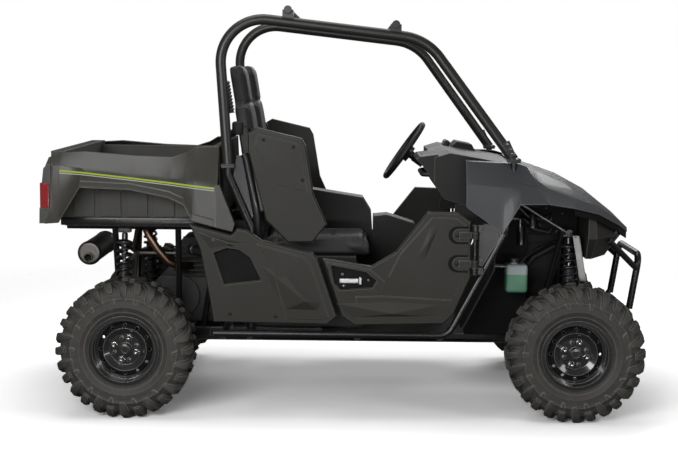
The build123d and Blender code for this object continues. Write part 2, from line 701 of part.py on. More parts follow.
def floor_pan():
    """The cabin floor, toe board and firewall as one moulding."""
    wall = FLOOR_WALL
    low = FLOOR_Z - wall
    floor = block(FLOOR_X, (-FLOOR_HALF, FLOOR_HALF), (low, FLOOR_Z))
    x_toe = FLOOR_X[1]
    toe = [
        (x_toe - 5, FLOOR_Z),
        (FIREWALL_X, FIREWALL_BEND_Z),
        (FIREWALL_X, DASH_LOW_Z - SEAT_GAP),
        (FIREWALL_X + wall, DASH_LOW_Z - SEAT_GAP),
        (FIREWALL_X + wall, FIREWALL_BEND_Z),
        (x_toe, low),
        (x_toe - 5, low),
    ]
    flange_z = (DASH_LOW_Z - SEAT_GAP - wall, DASH_LOW_Z - SEAT_GAP)
    flange = block((FIREWALL_X - 40, FIREWALL_X + 40), (-DASH_HALF, DASH_HALF), flange_z)
    return floor + side_plate(toe, -FIREWALL_HALF, FIREWALL_HALF) + flange


SEAT_BOX_X = (X_REAR + 552.0, X_REAR + 1127.0)
SEAT_BOX_HALF = BODY_Y - 155.0
SEAT_BASE_Z = 757.0
SEAT_BOX_WALL = 8.0


def seat_box():
    """The moulded seat base over the fuel tank and the front of the engine bay, open below."""
    x_low, x_high = SEAT_BOX_X
    wall = SEAT_BOX_WALL
    low = FLOOR_Z + SEAT_GAP
    outline = [(x_low, low), (x_low, SEAT_BASE_Z), (x_high - 40, SEAT_BASE_Z), (x_high, low)]
    inside = [
        (x_low + wall, low - 1),
        (x_low + wall, SEAT_BASE_Z - wall),
        (x_high - 40 - wall, SEAT_BASE_Z - wall),
        (x_high - wall, low - 1),
    ]
    box = side_plate(outline, -SEAT_BOX_HALF, SEAT_BOX_HALF)
    return box - side_plate(inside, -SEAT_BOX_HALF + wall, SEAT_BOX_HALF - wall)


def centre_console():
    """The storage box between the seats with its armrest lid, and the tunnel ahead of the seat base."""
    low = SEAT_BASE_Z + SEAT_GAP
    lid = [(632, low), (632, 960), (857, 1040), (1119, 1000), (1164, 928), (1177, low)]
    console = side_plate(rear_points(lid), -CONSOLE_HALF, CONSOLE_HALF)
    tunnel_low = FLOOR_Z + SEAT_GAP
    back = [(1127 + SEAT_GAP, tunnel_low), (1087 + SEAT_GAP, low), (1175, low), (1175, 905), (1247, 912)]
    front = [(-739, 868), (-639, 700), (-569, tunnel_low)]
    return console + side_plate(rear_points(back) + front_points(front), -CONSOLE_HALF, CONSOLE_HALF)


CUSHION_TOP = 838.0
CUSHION_X = (X_REAR + 632.0, X_REAR + 1169.0)
BACK_LEAN = 9.4
BACK_FOOT_X = X_REAR + 662.0
BACK_FOOT_Z = CUSHION_TOP + SEAT_GAP + (BACK_FOOT_X - CUSHION_X[0]) * tan(radians(BACK_LEAN))
BACK_LENGTH = 860.0
BACK_THICKNESS = 62.0
BACK_EDGE = 14.0


def seat_cushion():
    """The left seat's cushion, rounded at its front."""
    half = SEAT_WIDTH / 2
    y = (SEAT_Y - half, SEAT_Y + half)
    cushion = block(CUSHION_X, y, (SEAT_BASE_Z + SEAT_GAP, CUSHION_TOP))
    return fillet(cushion.edges().filter_by(Axis.Y).group_by(Axis.Z)[-1].sort_by(Axis.X)[-1], 30)


def seat_back():
    """The left seat's back, wide at the shoulders and narrow at the head."""
    half = SEAT_WIDTH / 2
    neck = half * 0.6
    shoulder = [(10 - half, 0), (-half, 420), (19 - half, 640)]
    outline = shoulder + [(-neck, 680), (5 - neck, 820), (33 - neck, BACK_LENGTH)]
    face = make_face(Polyline(*outline, *[(-y, z) for y, z in reversed(outline)], close=True))
    slab = extrude(face, amount=BACK_THICKNESS)
    slab = chamfer(slab.faces().sort_by(Axis.Z)[0].outer_wire().edges().sort_by(Axis.Y)[1:], BACK_EDGE)
    place = Plane(
        origin=(BACK_FOOT_X, SEAT_Y, BACK_FOOT_Z),
        x_dir=(0, -1, 0),
        z_dir=(-cos(radians(BACK_LEAN)), 0, -sin(radians(BACK_LEAN))),
    )
    return place * slab


DASH_REAR_X = X_FRONT - 667.0
DASH_HALF = BODY_Y - 175.0


def dash():
    """The dash, with a pod in front of the passenger and an instrument visor in front of the driver."""
    low = DASH_LOW_Z
    face = [(-619, 1037), (-667, 1110), (-667, 1236), (-594, 1258)]
    outline = [(-307, 1205), (-307, low), (-509, low), *face, (-429, 1230)]
    cowl = [(-310, 1206), (-264, 1197), (-264, 1188), (-310, 1194)]
    inside = [(-429, 1221), (-306, 1196), (-306, low + 8), (-489, low + 8), (-599, 1050), (-629, 1200)]
    body = side_plate(front_points(outline), -DASH_HALF, DASH_HALF)
    body -= side_plate(front_points(inside), -DASH_HALF + 8, DASH_HALF - 8)
    body += side_plate(front_points(cowl), -DASH_HALF, DASH_HALF)
    pod = [(-752, 1222), (-738, 1238), (-649, 1250), (-649, 1100), (-669, 1120), (-724, 1195)]
    body += side_plate(front_points(pod), -DASH_HALF + 10, -95)
    visor = [(-549, 1240), (-509, 1278), (-429, 1262), (-409, 1225)]
    body += side_plate(front_points(visor), STEERING_Y - 110, STEERING_Y + 110)
    lift = PANEL + 2 * SEAT_GAP
    rest = [(-329, 1150), (-229, 1150), (-229, hood_z(-229) - lift), (-254, hood_z(-254) - lift)]
    return body + side_plate(front_points(rest + [(-309, 1203), (-329, 1203)]), -14, 14)


def hood_z(x):
    """Height of the hood's first bay along the middle, with x from the front axle."""
    back, front = HOOD_STATIONS[0], HOOD_STATIONS[1]
    return back[1] + (x - back[0]) / (front[0] - back[0]) * (front[1] - back[1])


# Doors and side panels

DOOR_OUTLINE = [
    # x from the front axle, z
    (-1195, 766),
    (-968, 732),
    (-855, 800),
    (-704, 993),
    (-561, 989),
    (-503, 948),
    (-499, 690),
    (-577, 512),
    (-623, 463),
    (-1043, 452),
    (-1103, 494),
]
POCKET_RIM = [(-1180, 752), (-969, 717), (-903, 664), (-919, 618), (-1115, 606), (-1155, 650)]
POCKET = [(-1159, 738), (-989, 706), (-939, 664), (-959, 630), (-1111, 618), (-1141, 650)]
DOOR_FIELDS = (
    [(-886, 686), (-569, 600), (-524, 704), (-526, 932), (-568, 964), (-684, 968), (-832, 796)],
    [(-1040, 590), (-901, 594), (-586, 578), (-640, 490), (-1028, 480)],
)
DOOR_EDGE = 7.0
STRAP_RADIUS = 31.0


def door():
    """The left door: a moulding with raised fields, a latch pocket and two hinge straps round the pin."""
    leaf = side_plate(front_points(DOOR_OUTLINE), BODY_Y - DOOR_THICKNESS, BODY_Y)
    leaf = chamfer(leaf.faces().sort_by(Axis.Y)[-1].outer_wire().edges(), DOOR_EDGE)
    for outline in (*DOOR_FIELDS, POCKET_RIM):
        leaf += raised_field(front_points(outline), BODY_Y, 4)
    pocket_y = BODY_Y - 20
    leaf -= side_plate(front_points(POCKET), pocket_y, BODY_Y + 10)
    leaf += block((X_FRONT - 1117, X_FRONT - 1013), (pocket_y - 1, BODY_Y - 8), (650, 674))
    leaf += block((X_FRONT - 1025, X_FRONT - 1011), (pocket_y - 1, BODY_Y - 4), (644, 682))
    for z in (HINGE_Z[0] + 36, HINGE_Z[1] - 36 - 30):
        z_mid = z + 15
        strap_x = HINGE_X - 73
        strap = rod((strap_x, BODY_Y - 8, z_mid), (strap_x, BODY_Y + 8, z_mid), STRAP_RADIUS)
        strap_z = (z_mid - STRAP_RADIUS, z_mid + STRAP_RADIUS)
        strap += block((strap_x, HINGE_X - 28), (BODY_Y - 8, BODY_Y + 8), strap_z)
        strap += block((strap_x, HINGE_X), (BODY_Y - 8, HINGE_Y), (z, z + 30))
        leaf += strap + rod((HINGE_X, HINGE_Y, z), (HINGE_X, HINGE_Y, z + 30), HINGE_BARREL)
    return leaf - rod((HINGE_X, HINGE_Y, 400), (HINGE_X, HINGE_Y, 1200), HINGE_PIN_RADIUS + SEAT_GAP)


SIDE_REAR = [
    # x from the rear axle, z
    (418, 461),
    (399, 576),
    (356, 802),
    (305, 924),
    (501, 874),
    (529, 905),
    (577, 897),
    (642, 851),
    (768, 820),
]
SIDE_FRONT = [(-1244, 793), (-1219, 764), (-1127, 494), (-1174, 454)]  # x from the front axle, z
INTAKE = [(417, 790), (481, 814), (576, 800), (644, 660), (467, 638)]
SIDE_FIELD_REAR = [(757, 478), (747, 515), (682, 755), (617, 836)]
SIDE_FIELD_FRONT = [(-1284, 776), (-1252, 745), (-1164, 492), (-1199, 476)]


def side_panel():
    """The left side panel between door and rear wheel, with a raised field and the air intake's recess."""
    leaf = side_plate(rear_points(SIDE_REAR) + front_points(SIDE_FRONT), BODY_Y - DOOR_THICKNESS, BODY_Y)
    leaf = chamfer(leaf.faces().sort_by(Axis.Y)[-1].outer_wire().edges(), DOOR_EDGE)
    leaf += raised_field(rear_points(SIDE_FIELD_REAR) + front_points(SIDE_FIELD_FRONT), BODY_Y, 5)
    return leaf - side_plate(rear_points(INTAKE), BODY_Y - 28, BODY_Y + 1)


BOLSTER_OUTLINE = [
    # x from the rear axle, z
    (615, 1375),
    (825, 1326),
    (846, 1290),
    (885, 1058),
    (948, 920),
    (882, 834),
    (763, 832),
    (658, 936),
    (572, 1268),
    (572, 1348),
]
BOLSTER_FIELD = [(620, 1345), (806, 1302), (820, 1280), (858, 1074), (700, 1110), (602, 1290)]


def shoulder_bolster():
    """The left shoulder bolster beside the seat, with a raised field."""
    leaf = side_plate(rear_points(BOLSTER_OUTLINE), *BOLSTER_Y)
    leaf = chamfer(leaf.faces().sort_by(Axis.Y)[-1].outer_wire().edges(), 8)
    return leaf + raised_field(rear_points(BOLSTER_FIELD), BOLSTER_Y[1], 4)


# Roll cage

CAGE_FRONT = Vector(X_FRONT - 717, CAGE_TOP_Y, 1796)
CAGE_BACK = Vector(X_REAR + 420, CAGE_TOP_Y, 1907)


def cage_side():
    """The left side of the cage: front leg, roof rail and rear leg in one bent tube."""
    points = [
        (CAGE_FOOT_X, CAGE_FOOT_Y, CAGE_FOOT_Z),
        tuple(CAGE_FRONT),
        tuple(CAGE_BACK),
        (CAGE_REAR_X, UPRIGHT_Y, CAGE_REAR_Z),
    ]
    path = FilletPolyline(*points, radius=[250, 200])
    side = sweep(Plane(origin=path @ 0, z_dir=path % 0) * Circle(CAGE_RADIUS), path)
    for x, y, z in (points[0], points[-1]):
        side -= block((x - 90, x + 90), (y - 90, y + 90), (z - 60, z))
        side += block((x - 32, x + 32), (y - 30, y + 30), (z - FLANGE / 2, z + FLANGE / 2))
    return side


ROOF_BARS_X = (X_REAR + 755.0, X_FRONT - 861.0)
SHOULDER_BAR_Z = 1330.0


def roof_z(x):
    """Height of the roof rails' axis."""
    share = (x - CAGE_FRONT.X) / (CAGE_BACK.X - CAGE_FRONT.X)
    return CAGE_FRONT.Z + share * (CAGE_BACK.Z - CAGE_FRONT.Z)


def cage_crossbars():
    """Two roof bars on saddles and the shoulder bar behind the seats."""
    bars = []
    for x, lift in zip(ROOF_BARS_X, (58.0, 51.0)):
        z = roof_z(x) + lift
        bar = rod((x, -CAGE_TOP_Y - 30, z), (x, CAGE_TOP_Y + 30, z), CROSSBAR_RADIUS)
        for side in (-1, 1):
            y = side * CAGE_TOP_Y
            bar += block((x - 26, x + 26), (y - 20, y + 20), (roof_z(x), z))
            start, end = CAGE_FRONT, CAGE_BACK
            bar -= rod((start.X, y, start.Z), (end.X, y, end.Z), CAGE_RADIUS + SEAT_GAP)
            bar -= block((x - 60, x + 60), (y - 60, y + 60), (roof_z(x) - 60, roof_z(x) + 3))
        bars += bar.solids()
    share = (CAGE_BACK.Z - SHOULDER_BAR_Z) / (CAGE_BACK.Z - CAGE_REAR_Z)
    leg_x = CAGE_BACK.X + share * (CAGE_REAR_X - CAGE_BACK.X)
    leg_y = CAGE_TOP_Y + share * (UPRIGHT_Y - CAGE_TOP_Y)
    half = leg_y - CAGE_RADIUS - 2
    bars += rod((leg_x, -half, SHOULDER_BAR_Z), (leg_x, half, SHOULDER_BAR_Z), CROSSBAR_RADIUS).solids()
    return Compound(bars)


# Front body

HOOD_STATIONS = (
    # x from the front axle, z at the middle, crease in from the body's side, crease z, edge in, edge z
    (-269, 1208, 200, 1205, 10, 1045),
    (-139, 1174, 110, 1100, 8, 1033),
    (-15, 1130, 108, 1056, 12, 1015),
    (112, 1062, 180, 1012, 100, 980),
    (239, 962, 308, 937, 268, 912),
    (313, 890, 450, 880, 438, 862),
)


def hood():
    """The hood: a crowned moulding, an arc between two creases, cut back along the fenders' seams."""
    faces = []
    for x, z_mid, crease_in, z_crease, edge_in, z_edge in HOOD_STATIONS:
        rims = []
        for drop in (0, PANEL):
            y_crease = BODY_Y - crease_in - drop / 2
            y_edge = BODY_Y - edge_in - drop
            arc = ThreePointArc((-y_crease, z_crease - drop), (0, z_mid - drop), (y_crease, z_crease - drop))
            crease, edge = (y_crease, z_crease - drop), (y_edge, z_edge - drop)
            flanks = [Line((side * crease[0], crease[1]), (side * edge[0], edge[1])) for side in (-1, 1)]
            rims.append([arc, *flanks])
        ends = []
        for k in (1, 2):
            ends.append(Line(rims[0][k] @ 1, rims[1][k] @ 1))
        outline = Wire([edge for edge in (*rims[0], *rims[1], *ends)])
        faces.append(Plane(origin=(X_FRONT + x, 0, 0), x_dir=(0, 1, 0), z_dir=(1, 0, 0)) * make_face(outline))
    shell = loft(faces, ruled=True)
    back_edge = block((X_FRONT - 279, X_FRONT - 257), (-BODY_Y, BODY_Y), (1100, 1300))
    return shell - seam_cut() - other_side(seam_cut()) - back_edge


def seam_cut():
    """What lies behind the hood's seam on the left."""
    face = [(-369, 1000), (-121, 1000), (-241, 1220), (-241, 1300), (-369, 1300)]
    return side_plate(front_points(face), BODY_Y - 230, BODY_Y + 60)


FENDER_FLANGE_IN = 168.0
FENDER_STATIONS = (
    # x from the front axle, top in from the body's side, top z, crease in, crease z, low edge in, low edge z
    (-523, 100, 1226, 60, 1120, 38, 1012),
    (-352, 112, 1216, 48, 1106, 16, 891),
    (-272, 120, 1211, 46, 1100, 10, 1030),
    (-129, 128, 1165, 40, 1080, 8, 1031),
)


def front_fender():
    """The left front fender: a creased panel with a top flange, behind the hood's seam."""
    stations = []
    for x, top_in, z_top, crease_in, z_crease, low_in, z_low in FENDER_STATIONS:
        insets = ((FENDER_FLANGE_IN, z_top + 2), (top_in, z_top), (crease_in, z_crease), (low_in, z_low))
        stations.append([(X_FRONT + x, BODY_Y - inset, z) for inset, z in insets])
    fender = panel(stations, PANEL)
    ahead = [(-125, 1000), (-245, 1220), (-245, 1400), (131, 1400), (131, 1000)]
    fender -= side_plate(front_points(ahead), BODY_Y - 300, BODY_Y + 60)
    notch_y = (BODY_Y - 200, CAGE_FOOT_Y + 40)
    fender -= block((CAGE_FOOT_X - 44, X_FRONT - 69), notch_y, (1100, 1300))
    return fender - rod(SWEEP_BEND, (CAGE_FOOT_X, CAGE_FOOT_Y, 1090), ROCKER_RADIUS + 4)


NOSE_LEVELS = (
    # z, then x from the front axle and y in from the body's side: front corner, cheek corner, back corner
    (752, (231, 510), (190, 360), (96, 200)),
    (856, (297, 465), (243, 320), (111, 135)),
    (990, (281, 470), (221, 315), (101, 135)),
)
NOSE_TOP_LINE = [(-69, 980), (28, 990), (133, 960), (234, 898), (331, 838), (331, 1200), (-69, 1200)]
LAMP_PLAN = [
    # x from the front axle, y in from the body's side
    (310, 450),
    (246, 290),
    (190, 330),
    (250, 480),
]
LAMP_Z = (864.0, 908.0)
GRILLE_SLOTS_Z = (776, 800, 824)


def nose_body():
    """The nose below the hood: a narrowing block with flat cheeks, cut along the hood's edge."""
    faces = []
    for z, *corners in NOSE_LEVELS:
        left = [(X_FRONT + x, BODY_Y - inset) for x, inset in corners]
        left.append((NOSE_BACK_X, left[-1][1]))
        full = left + [(x, -y) for x, y in reversed(left)]
        faces.append(make_face(Polyline(*[(x, y, z) for x, y in full], close=True)))
    body = loft(faces[:2], ruled=True) + loft(faces[1:], ruled=True)
    return body - side_plate(front_points(NOSE_TOP_LINE), -HALF_WIDTH, HALF_WIDTH)


def lamp_block(gap):
    """The space that the left headlamp fills in the nose's front corner, less a gap below and above."""
    corners = [(X_FRONT + x, BODY_Y - inset, LAMP_Z[0] + gap) for x, inset in LAMP_PLAN]
    plan = make_face(Polyline(*corners, close=True))
    return extrude(plan, amount=LAMP_Z[1] - LAMP_Z[0] - 2 * gap, dir=(0, 0, 1))


def front_grille():
    """The nose with the grille's slots and the headlamps' pockets."""
    nose = nose_body() - lamp_block(0) - other_side(lamp_block(0))
    for z in GRILLE_SLOTS_Z:
        nose -= block((NOSE_BACK_X + 42, X_NOSE), (-170, 170), (z, z + 12))
    return nose


def headlamp():
    """The left headlamp, flush with the nose round it."""
    return nose_body() & lamp_block(SEAT_GAP)


GUARD_RADIUS = 17.0
GUARD_Y = 255.0


def front_guard():
    """The brush guard: an upright hoop, two arms to the nose and two stays to the front rails."""
    x_top = X_NOSE - GUARD_RADIUS
    hoop_points = [
        (x_top - 42, GUARD_Y, 470),
        (x_top, GUARD_Y, 742),
        (x_top, -GUARD_Y, 742),
        (x_top - 42, -GUARD_Y, 470),
    ]
    guard = tube(hoop_points, GUARD_RADIUS, 60)
    stay = rod((x_top - 40, GUARD_Y, 486), (RAIL_FRONT_X + SEAT_GAP, RAIL_Y - 10, RAIL_Z + 6), 14)
    stay += rod((x_top - 11, GUARD_Y, 672), (X_FRONT + 185, BODY_Y - 246, 840), 15)
    guard += stay + other_side(stay)
    guard -= block((RAIL_FRONT_X - 80, RAIL_FRONT_X + SEAT_GAP), (-300, 300), (200, 400))
    return guard - nose_body()


# Under the hood

BIN_HALF = 185.0
TRAY_Z = UPPER_RAIL_Z + RAIL_SIDE / 2 + SEAT_GAP


def under_hood_bin():
    """The storage bin between the shock towers, on lips over the upper rails."""
    bin_x = (X_FRONT - 190, X_FRONT + 6)
    low, high = TRAY_Z + 8, 836
    body = loft(
        [
            Pos(sum(bin_x) / 2, 0, low - 1) * Rectangle(bin_x[1] - bin_x[0] - 30, 2 * BIN_HALF - 40),
            Pos(sum(bin_x) / 2, 0, high) * Rectangle(bin_x[1] - bin_x[0], 2 * BIN_HALF),
        ]
    )
    lip_y = RAIL_Y + 18
    return body + block((X_FRONT - 64, X_FRONT + 2), (-lip_y, lip_y), (TRAY_Z, TRAY_Z + 8))


def radiator():
    """The radiator behind the nose: a finned core between two tanks, on lips over the upper rails."""
    x_low = X_FRONT + 12
    core = block((x_low + 8, x_low + 36), (-180, 180), (TRAY_Z + 30, 800))
    for side in (-1, 1):
        core += block((x_low, x_low + 46), sorted((side * 176, side * 206)), (TRAY_Z + 20, 812))
    for z in range(560, 800, 30):
        core -= block((x_low + 26, x_low + 40), (-170, 170), (z, z + 14))
    lip_y = RAIL_Y + 18
    lip = block((x_low, x_low + 50), (-lip_y, lip_y), (TRAY_Z, TRAY_Z + 8))
    return core + lip + block((x_low + 8, x_low + 36), (-180, 180), (TRAY_Z, TRAY_Z + 40))


BOTTLE_X = (X_FRONT - 304.0, X_FRONT - 199.0)
BOTTLE_Y = (-438.0, -334.0)
BOTTLE_Z = (572.0, 710.0)


def coolant_bottle():
    """The blow-moulded coolant bottle on the right, ahead of the firewall, with its cap and fixing tab."""
    bottle = block(BOTTLE_X, BOTTLE_Y, BOTTLE_Z)
    bottle = fillet(bottle.edges(), 14)
    x_mid, y_mid = BOTTLE_X[0] + 40, sum(BOTTLE_Y) / 2
    bottle += rod((x_mid, y_mid, BOTTLE_Z[1] - 4), (x_mid, y_mid, BOTTLE_Z[1] + 10), 20)
    bottle += rod((x_mid, y_mid, BOTTLE_Z[1] + 8), (x_mid, y_mid, BOTTLE_Z[1] + 28), 26)
    tab_x = (FIREWALL_X + FLOOR_WALL + SEAT_GAP, BOTTLE_X[0] + 20)
    tab_y = (BOTTLE_Y[0] + 20, BOTTLE_Y[1] - 20)
    return bottle + block(tab_x, tab_y, (FIREWALL_BEND_Z - 4, FIREWALL_BEND_Z + 2))


# Cargo box and rear body


BOX_RIBS = 5


def cargo_box():
    """A moulded tub with panelled sides, raised ends and a thick rear wall."""
    x_low, x_high = BOX_X
    half = BOX_HALF_WIDTH
    wall = BOX_WALL
    tub = block((x_low, x_high), (-half, half), (BOX_FLOOR_Z, BOX_SIDE_Z))
    tub += block((x_low - 30, x_low + 40), (-half, half), (BOX_FLOOR_Z, BOX_END_Z))
    tub += block((x_high - 40, x_high), (-half, half), (BOX_FLOOR_Z, BOX_FRONT_Z))
    inner = block((x_low + 32, x_high - 32), (-half + wall, half - wall), (BOX_FLOOR_Z + wall, 1400))
    tub -= inner
    rib_run = (x_high - x_low - 140) / BOX_RIBS
    for k in range(BOX_RIBS):
        x = x_low + 70 + k * rib_run
        rib = block((x + 10, x + rib_run - 22), (half - 2, half + 14), (BOX_FLOOR_Z + 6, BOX_SIDE_Z - 40))
        tub += rib + other_side(rib)
    return tub


BED_STATIONS = (
    # x, rim z, crease in from the body's side, crease z, low edge in, low edge z
    (X_TAIL + 25, 1222, 70, 1184, 45, 914),
    (X_TAIL + 94, 1244, 66, 1188, 28, 921),
    (X_REAR - 209, 1250, 64, 1178, 10, 1090),
    (X_REAR + 28, 1232, 62, 1152, 8, 1081),
    (X_REAR + 205, 1227, 60, 1134, 8, 1045),
    (X_REAR + 275, 1250, 60, 1126, 8, 1013),
    (X_REAR + 317, 1276, 60, 1122, 8, 938),
    (X_REAR + 430, 1282, 62, 1110, 10, 908),
)


def bed_fender():
    """The left fender of the cargo box, from its rim out and down to the wheel arch."""
    stations = []
    rim_in = BOX_HALF_WIDTH + SEAT_GAP
    for x, z_rim, crease_in, z_crease, low_in, z_low in BED_STATIONS:
        side = [(BODY_Y - crease_in, z_crease), (BODY_Y - low_in, z_low)]
        stations.append([(x, y, z) for y, z in ((rim_in, z_rim), (rim_in + 26, z_rim), *side)])
    fender = panel(stations, PANEL)
    front = [(429, 908), (429, 1106), (445, 1106), (516, 925), (505, 890)]
    fender += side_plate(rear_points(front), BODY_Y - 60, BODY_Y - 10)
    x_join = X_TAIL + 55
    corner = [(0, 916), (2, 1000), (22, 1176), (40, 1196)]
    tail = [(x_join, 916), *[(X_TAIL + x, z) for x, z in corner], (x_join, 1196)]
    fender += side_plate(tail, rim_in, BODY_Y - 45)
    return fender - lamp_space(0)


def lamp_space(gap):
    """The space of the left tail lamp, less a gap all round."""
    lamp_y = (BODY_Y - 104 + gap, BODY_Y)
    return block((X_TAIL - 1 + gap, X_TAIL + 50 - gap), lamp_y, (990 + gap, 1106 - gap))


def tail_lamp():
    """The left tail lamp, set into the fender's rear corner."""
    lamp = lamp_space(SEAT_GAP) & block((X_TAIL + 2, X_TAIL + 49), (BODY_Y - 110, BODY_Y - 36), (980, 1110))
    return chamfer(lamp.edges().filter_by(Axis.Z).sort_by(lambda e: e.center().X - e.center().Y)[0], 22)


MUFFLER_X = X_TAIL + 165.0
MUFFLER_Z = 728.0
MUFFLER_RADIUS = 58.0
MUFFLER_Y = (-300.0, 160.0)


def muffler():
    """The transverse muffler and its pipe to the engine."""
    can = rod((MUFFLER_X, MUFFLER_Y[0], MUFFLER_Z), (MUFFLER_X, MUFFLER_Y[1], MUFFLER_Z), MUFFLER_RADIUS)
    can = fillet(can.edges(), 14)
    route = [
        (MUFFLER_X, 120, MUFFLER_Z),
        (X_REAR - 123, 120, MUFFLER_Z),
        (X_REAR - 43, 20, 690),
        (ENGINE_X[0] + 120 - SEAT_GAP, 20, 690),
    ]
    return can + tube(route, 19, 30)


SINGLE_NODES = {
    "engine": engine,
    "frame_centre": frame_centre,
    "frame_front": frame_front,
    "frame_rear": frame_rear,
    "box_frame": box_frame,
    "hitch_receiver": hitch_receiver,
    "skid_plate": skid_plate,
    "tie_rods": tie_rods,
    "steering_wheel": steering_wheel,
    "steering_column": steering_column,
    "floor_pan": floor_pan,
    "seat_box": seat_box,
    "centre_console": centre_console,
    "dash": dash,
    "hood": hood,
    "front_grille": front_grille,
    "under_hood_bin": under_hood_bin,
    "radiator": radiator,
    "coolant_bottle": coolant_bottle,
    "front_guard": front_guard,
    "cargo_box": cargo_box,
    "cage_crossbars": cage_crossbars,
    "muffler": muffler,
}
PAIRED_NODES = {
    "seat_cushions": seat_cushion,
    "seat_backs": seat_back,
    "shoulder_bolsters": shoulder_bolster,
    "side_panels": side_panel,
    "cabin_frame": cabin_frame,
    "cage_sides": cage_side,
    "front_fenders": front_fender,
    "headlamps": headlamp,
    "bed_fenders": bed_fender,
    "tail_lamps": tail_lamp,
}


def nodes():
    """Every piece by its node name."""
    made = {}
    for end, x, width in (("front", X_FRONT, TYRE_WIDTH_FRONT), ("rear", X_REAR, TYRE_WIDTH_REAR)):
        place = wheel_place(x, width)
        for name, shape in (("tyre", tyre(width)), ("rim", wheel_rim(width, hub_face_y(width)))):
            left = place * shape
            made[f"{name}_{end}_left"] = left
            made[f"{name}_{end}_right"] = other_side(left)
    for name, shape in (("knuckle_front", front_knuckle()), ("door", door())):
        made[f"{name}_left"] = shape
        made[f"{name}_right"] = other_side(shape)
    made["hub_carriers_rear"] = pair(upright(X_REAR))
    shock_places = (("front", X_FRONT, X_FRONT), ("rear", X_REAR, X_REAR - SHOCK_REAR_SHIFT))
    for end, x, shock_x in shock_places:
        arms = [*wishbone(x, LOWER_ARM_Z, LOWER_PIVOT_Z).solids(), *shock_arm(x, shock_x).solids()]
        made[f"suspension_arms_{end}"] = pair(Compound(arms))
        made[f"shocks_{end}"] = pair(shock(shock_x))
    made["front_drive"] = final_drive(X_FRONT, 58, KINGPIN_Y - 55)
    made["rear_drive"] = final_drive(X_REAR, 64, KINGPIN_Y - 22 - SEAT_GAP)
    for name, make in SINGLE_NODES.items():
        made[name] = make()
    for name, make in PAIRED_NODES.items():
        made[name] = pair(make())
    return made


def main():
    os.makedirs("parts", exist_ok=True)
    for name, shape in nodes().items():
        export_step(shape, f"parts/{name}.step")


main()
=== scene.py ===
from math import cos, exp, pi, radians, sin

import bmesh
import bpy
from mathutils import Matrix, Vector


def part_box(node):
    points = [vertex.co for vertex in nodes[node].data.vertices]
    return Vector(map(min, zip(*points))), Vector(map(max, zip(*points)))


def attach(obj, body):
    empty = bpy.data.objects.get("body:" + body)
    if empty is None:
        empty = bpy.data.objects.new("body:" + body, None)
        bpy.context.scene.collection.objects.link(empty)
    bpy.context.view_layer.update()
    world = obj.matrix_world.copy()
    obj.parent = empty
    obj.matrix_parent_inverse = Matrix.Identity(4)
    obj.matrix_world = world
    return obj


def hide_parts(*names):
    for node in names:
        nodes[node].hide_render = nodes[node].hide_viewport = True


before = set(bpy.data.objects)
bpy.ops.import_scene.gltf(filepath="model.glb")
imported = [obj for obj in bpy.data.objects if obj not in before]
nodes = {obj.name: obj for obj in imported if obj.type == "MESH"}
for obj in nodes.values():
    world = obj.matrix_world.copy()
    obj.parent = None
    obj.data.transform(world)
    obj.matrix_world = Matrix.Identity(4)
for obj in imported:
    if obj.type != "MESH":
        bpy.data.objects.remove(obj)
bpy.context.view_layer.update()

# Frame: square steel rails and bent round tube, welded, then powder coated in satin black.
# The coat is thick, so it shows a fine orange peel and no brush marks; the skid plate is bare black plastic.


def add_node(tree, kind, feeds=None, **settings):
    """A node with its settings; feeds gives inputs, by name or number, a value or the socket that drives them."""
    node = tree.nodes.new(kind)
    for name, value in settings.items():
        setattr(node, name, value)
    for name, feed in (feeds or {}).items():
        if isinstance(feed, bpy.types.NodeSocket):
            tree.links.new(feed, node.inputs[name])
        else:
            node.inputs[name].default_value = feed
    return node


PALE_DUST = (0.20, 0.18, 0.15, 1)
# Colour of the painted highlight that lightens edges.
PAINTED_HIGHLIGHT_COLOUR = (0.24, 0.235, 0.22, 1)
EDGE_RADIUS = 0.006
GRAIN_HEIGHT = 0.0008


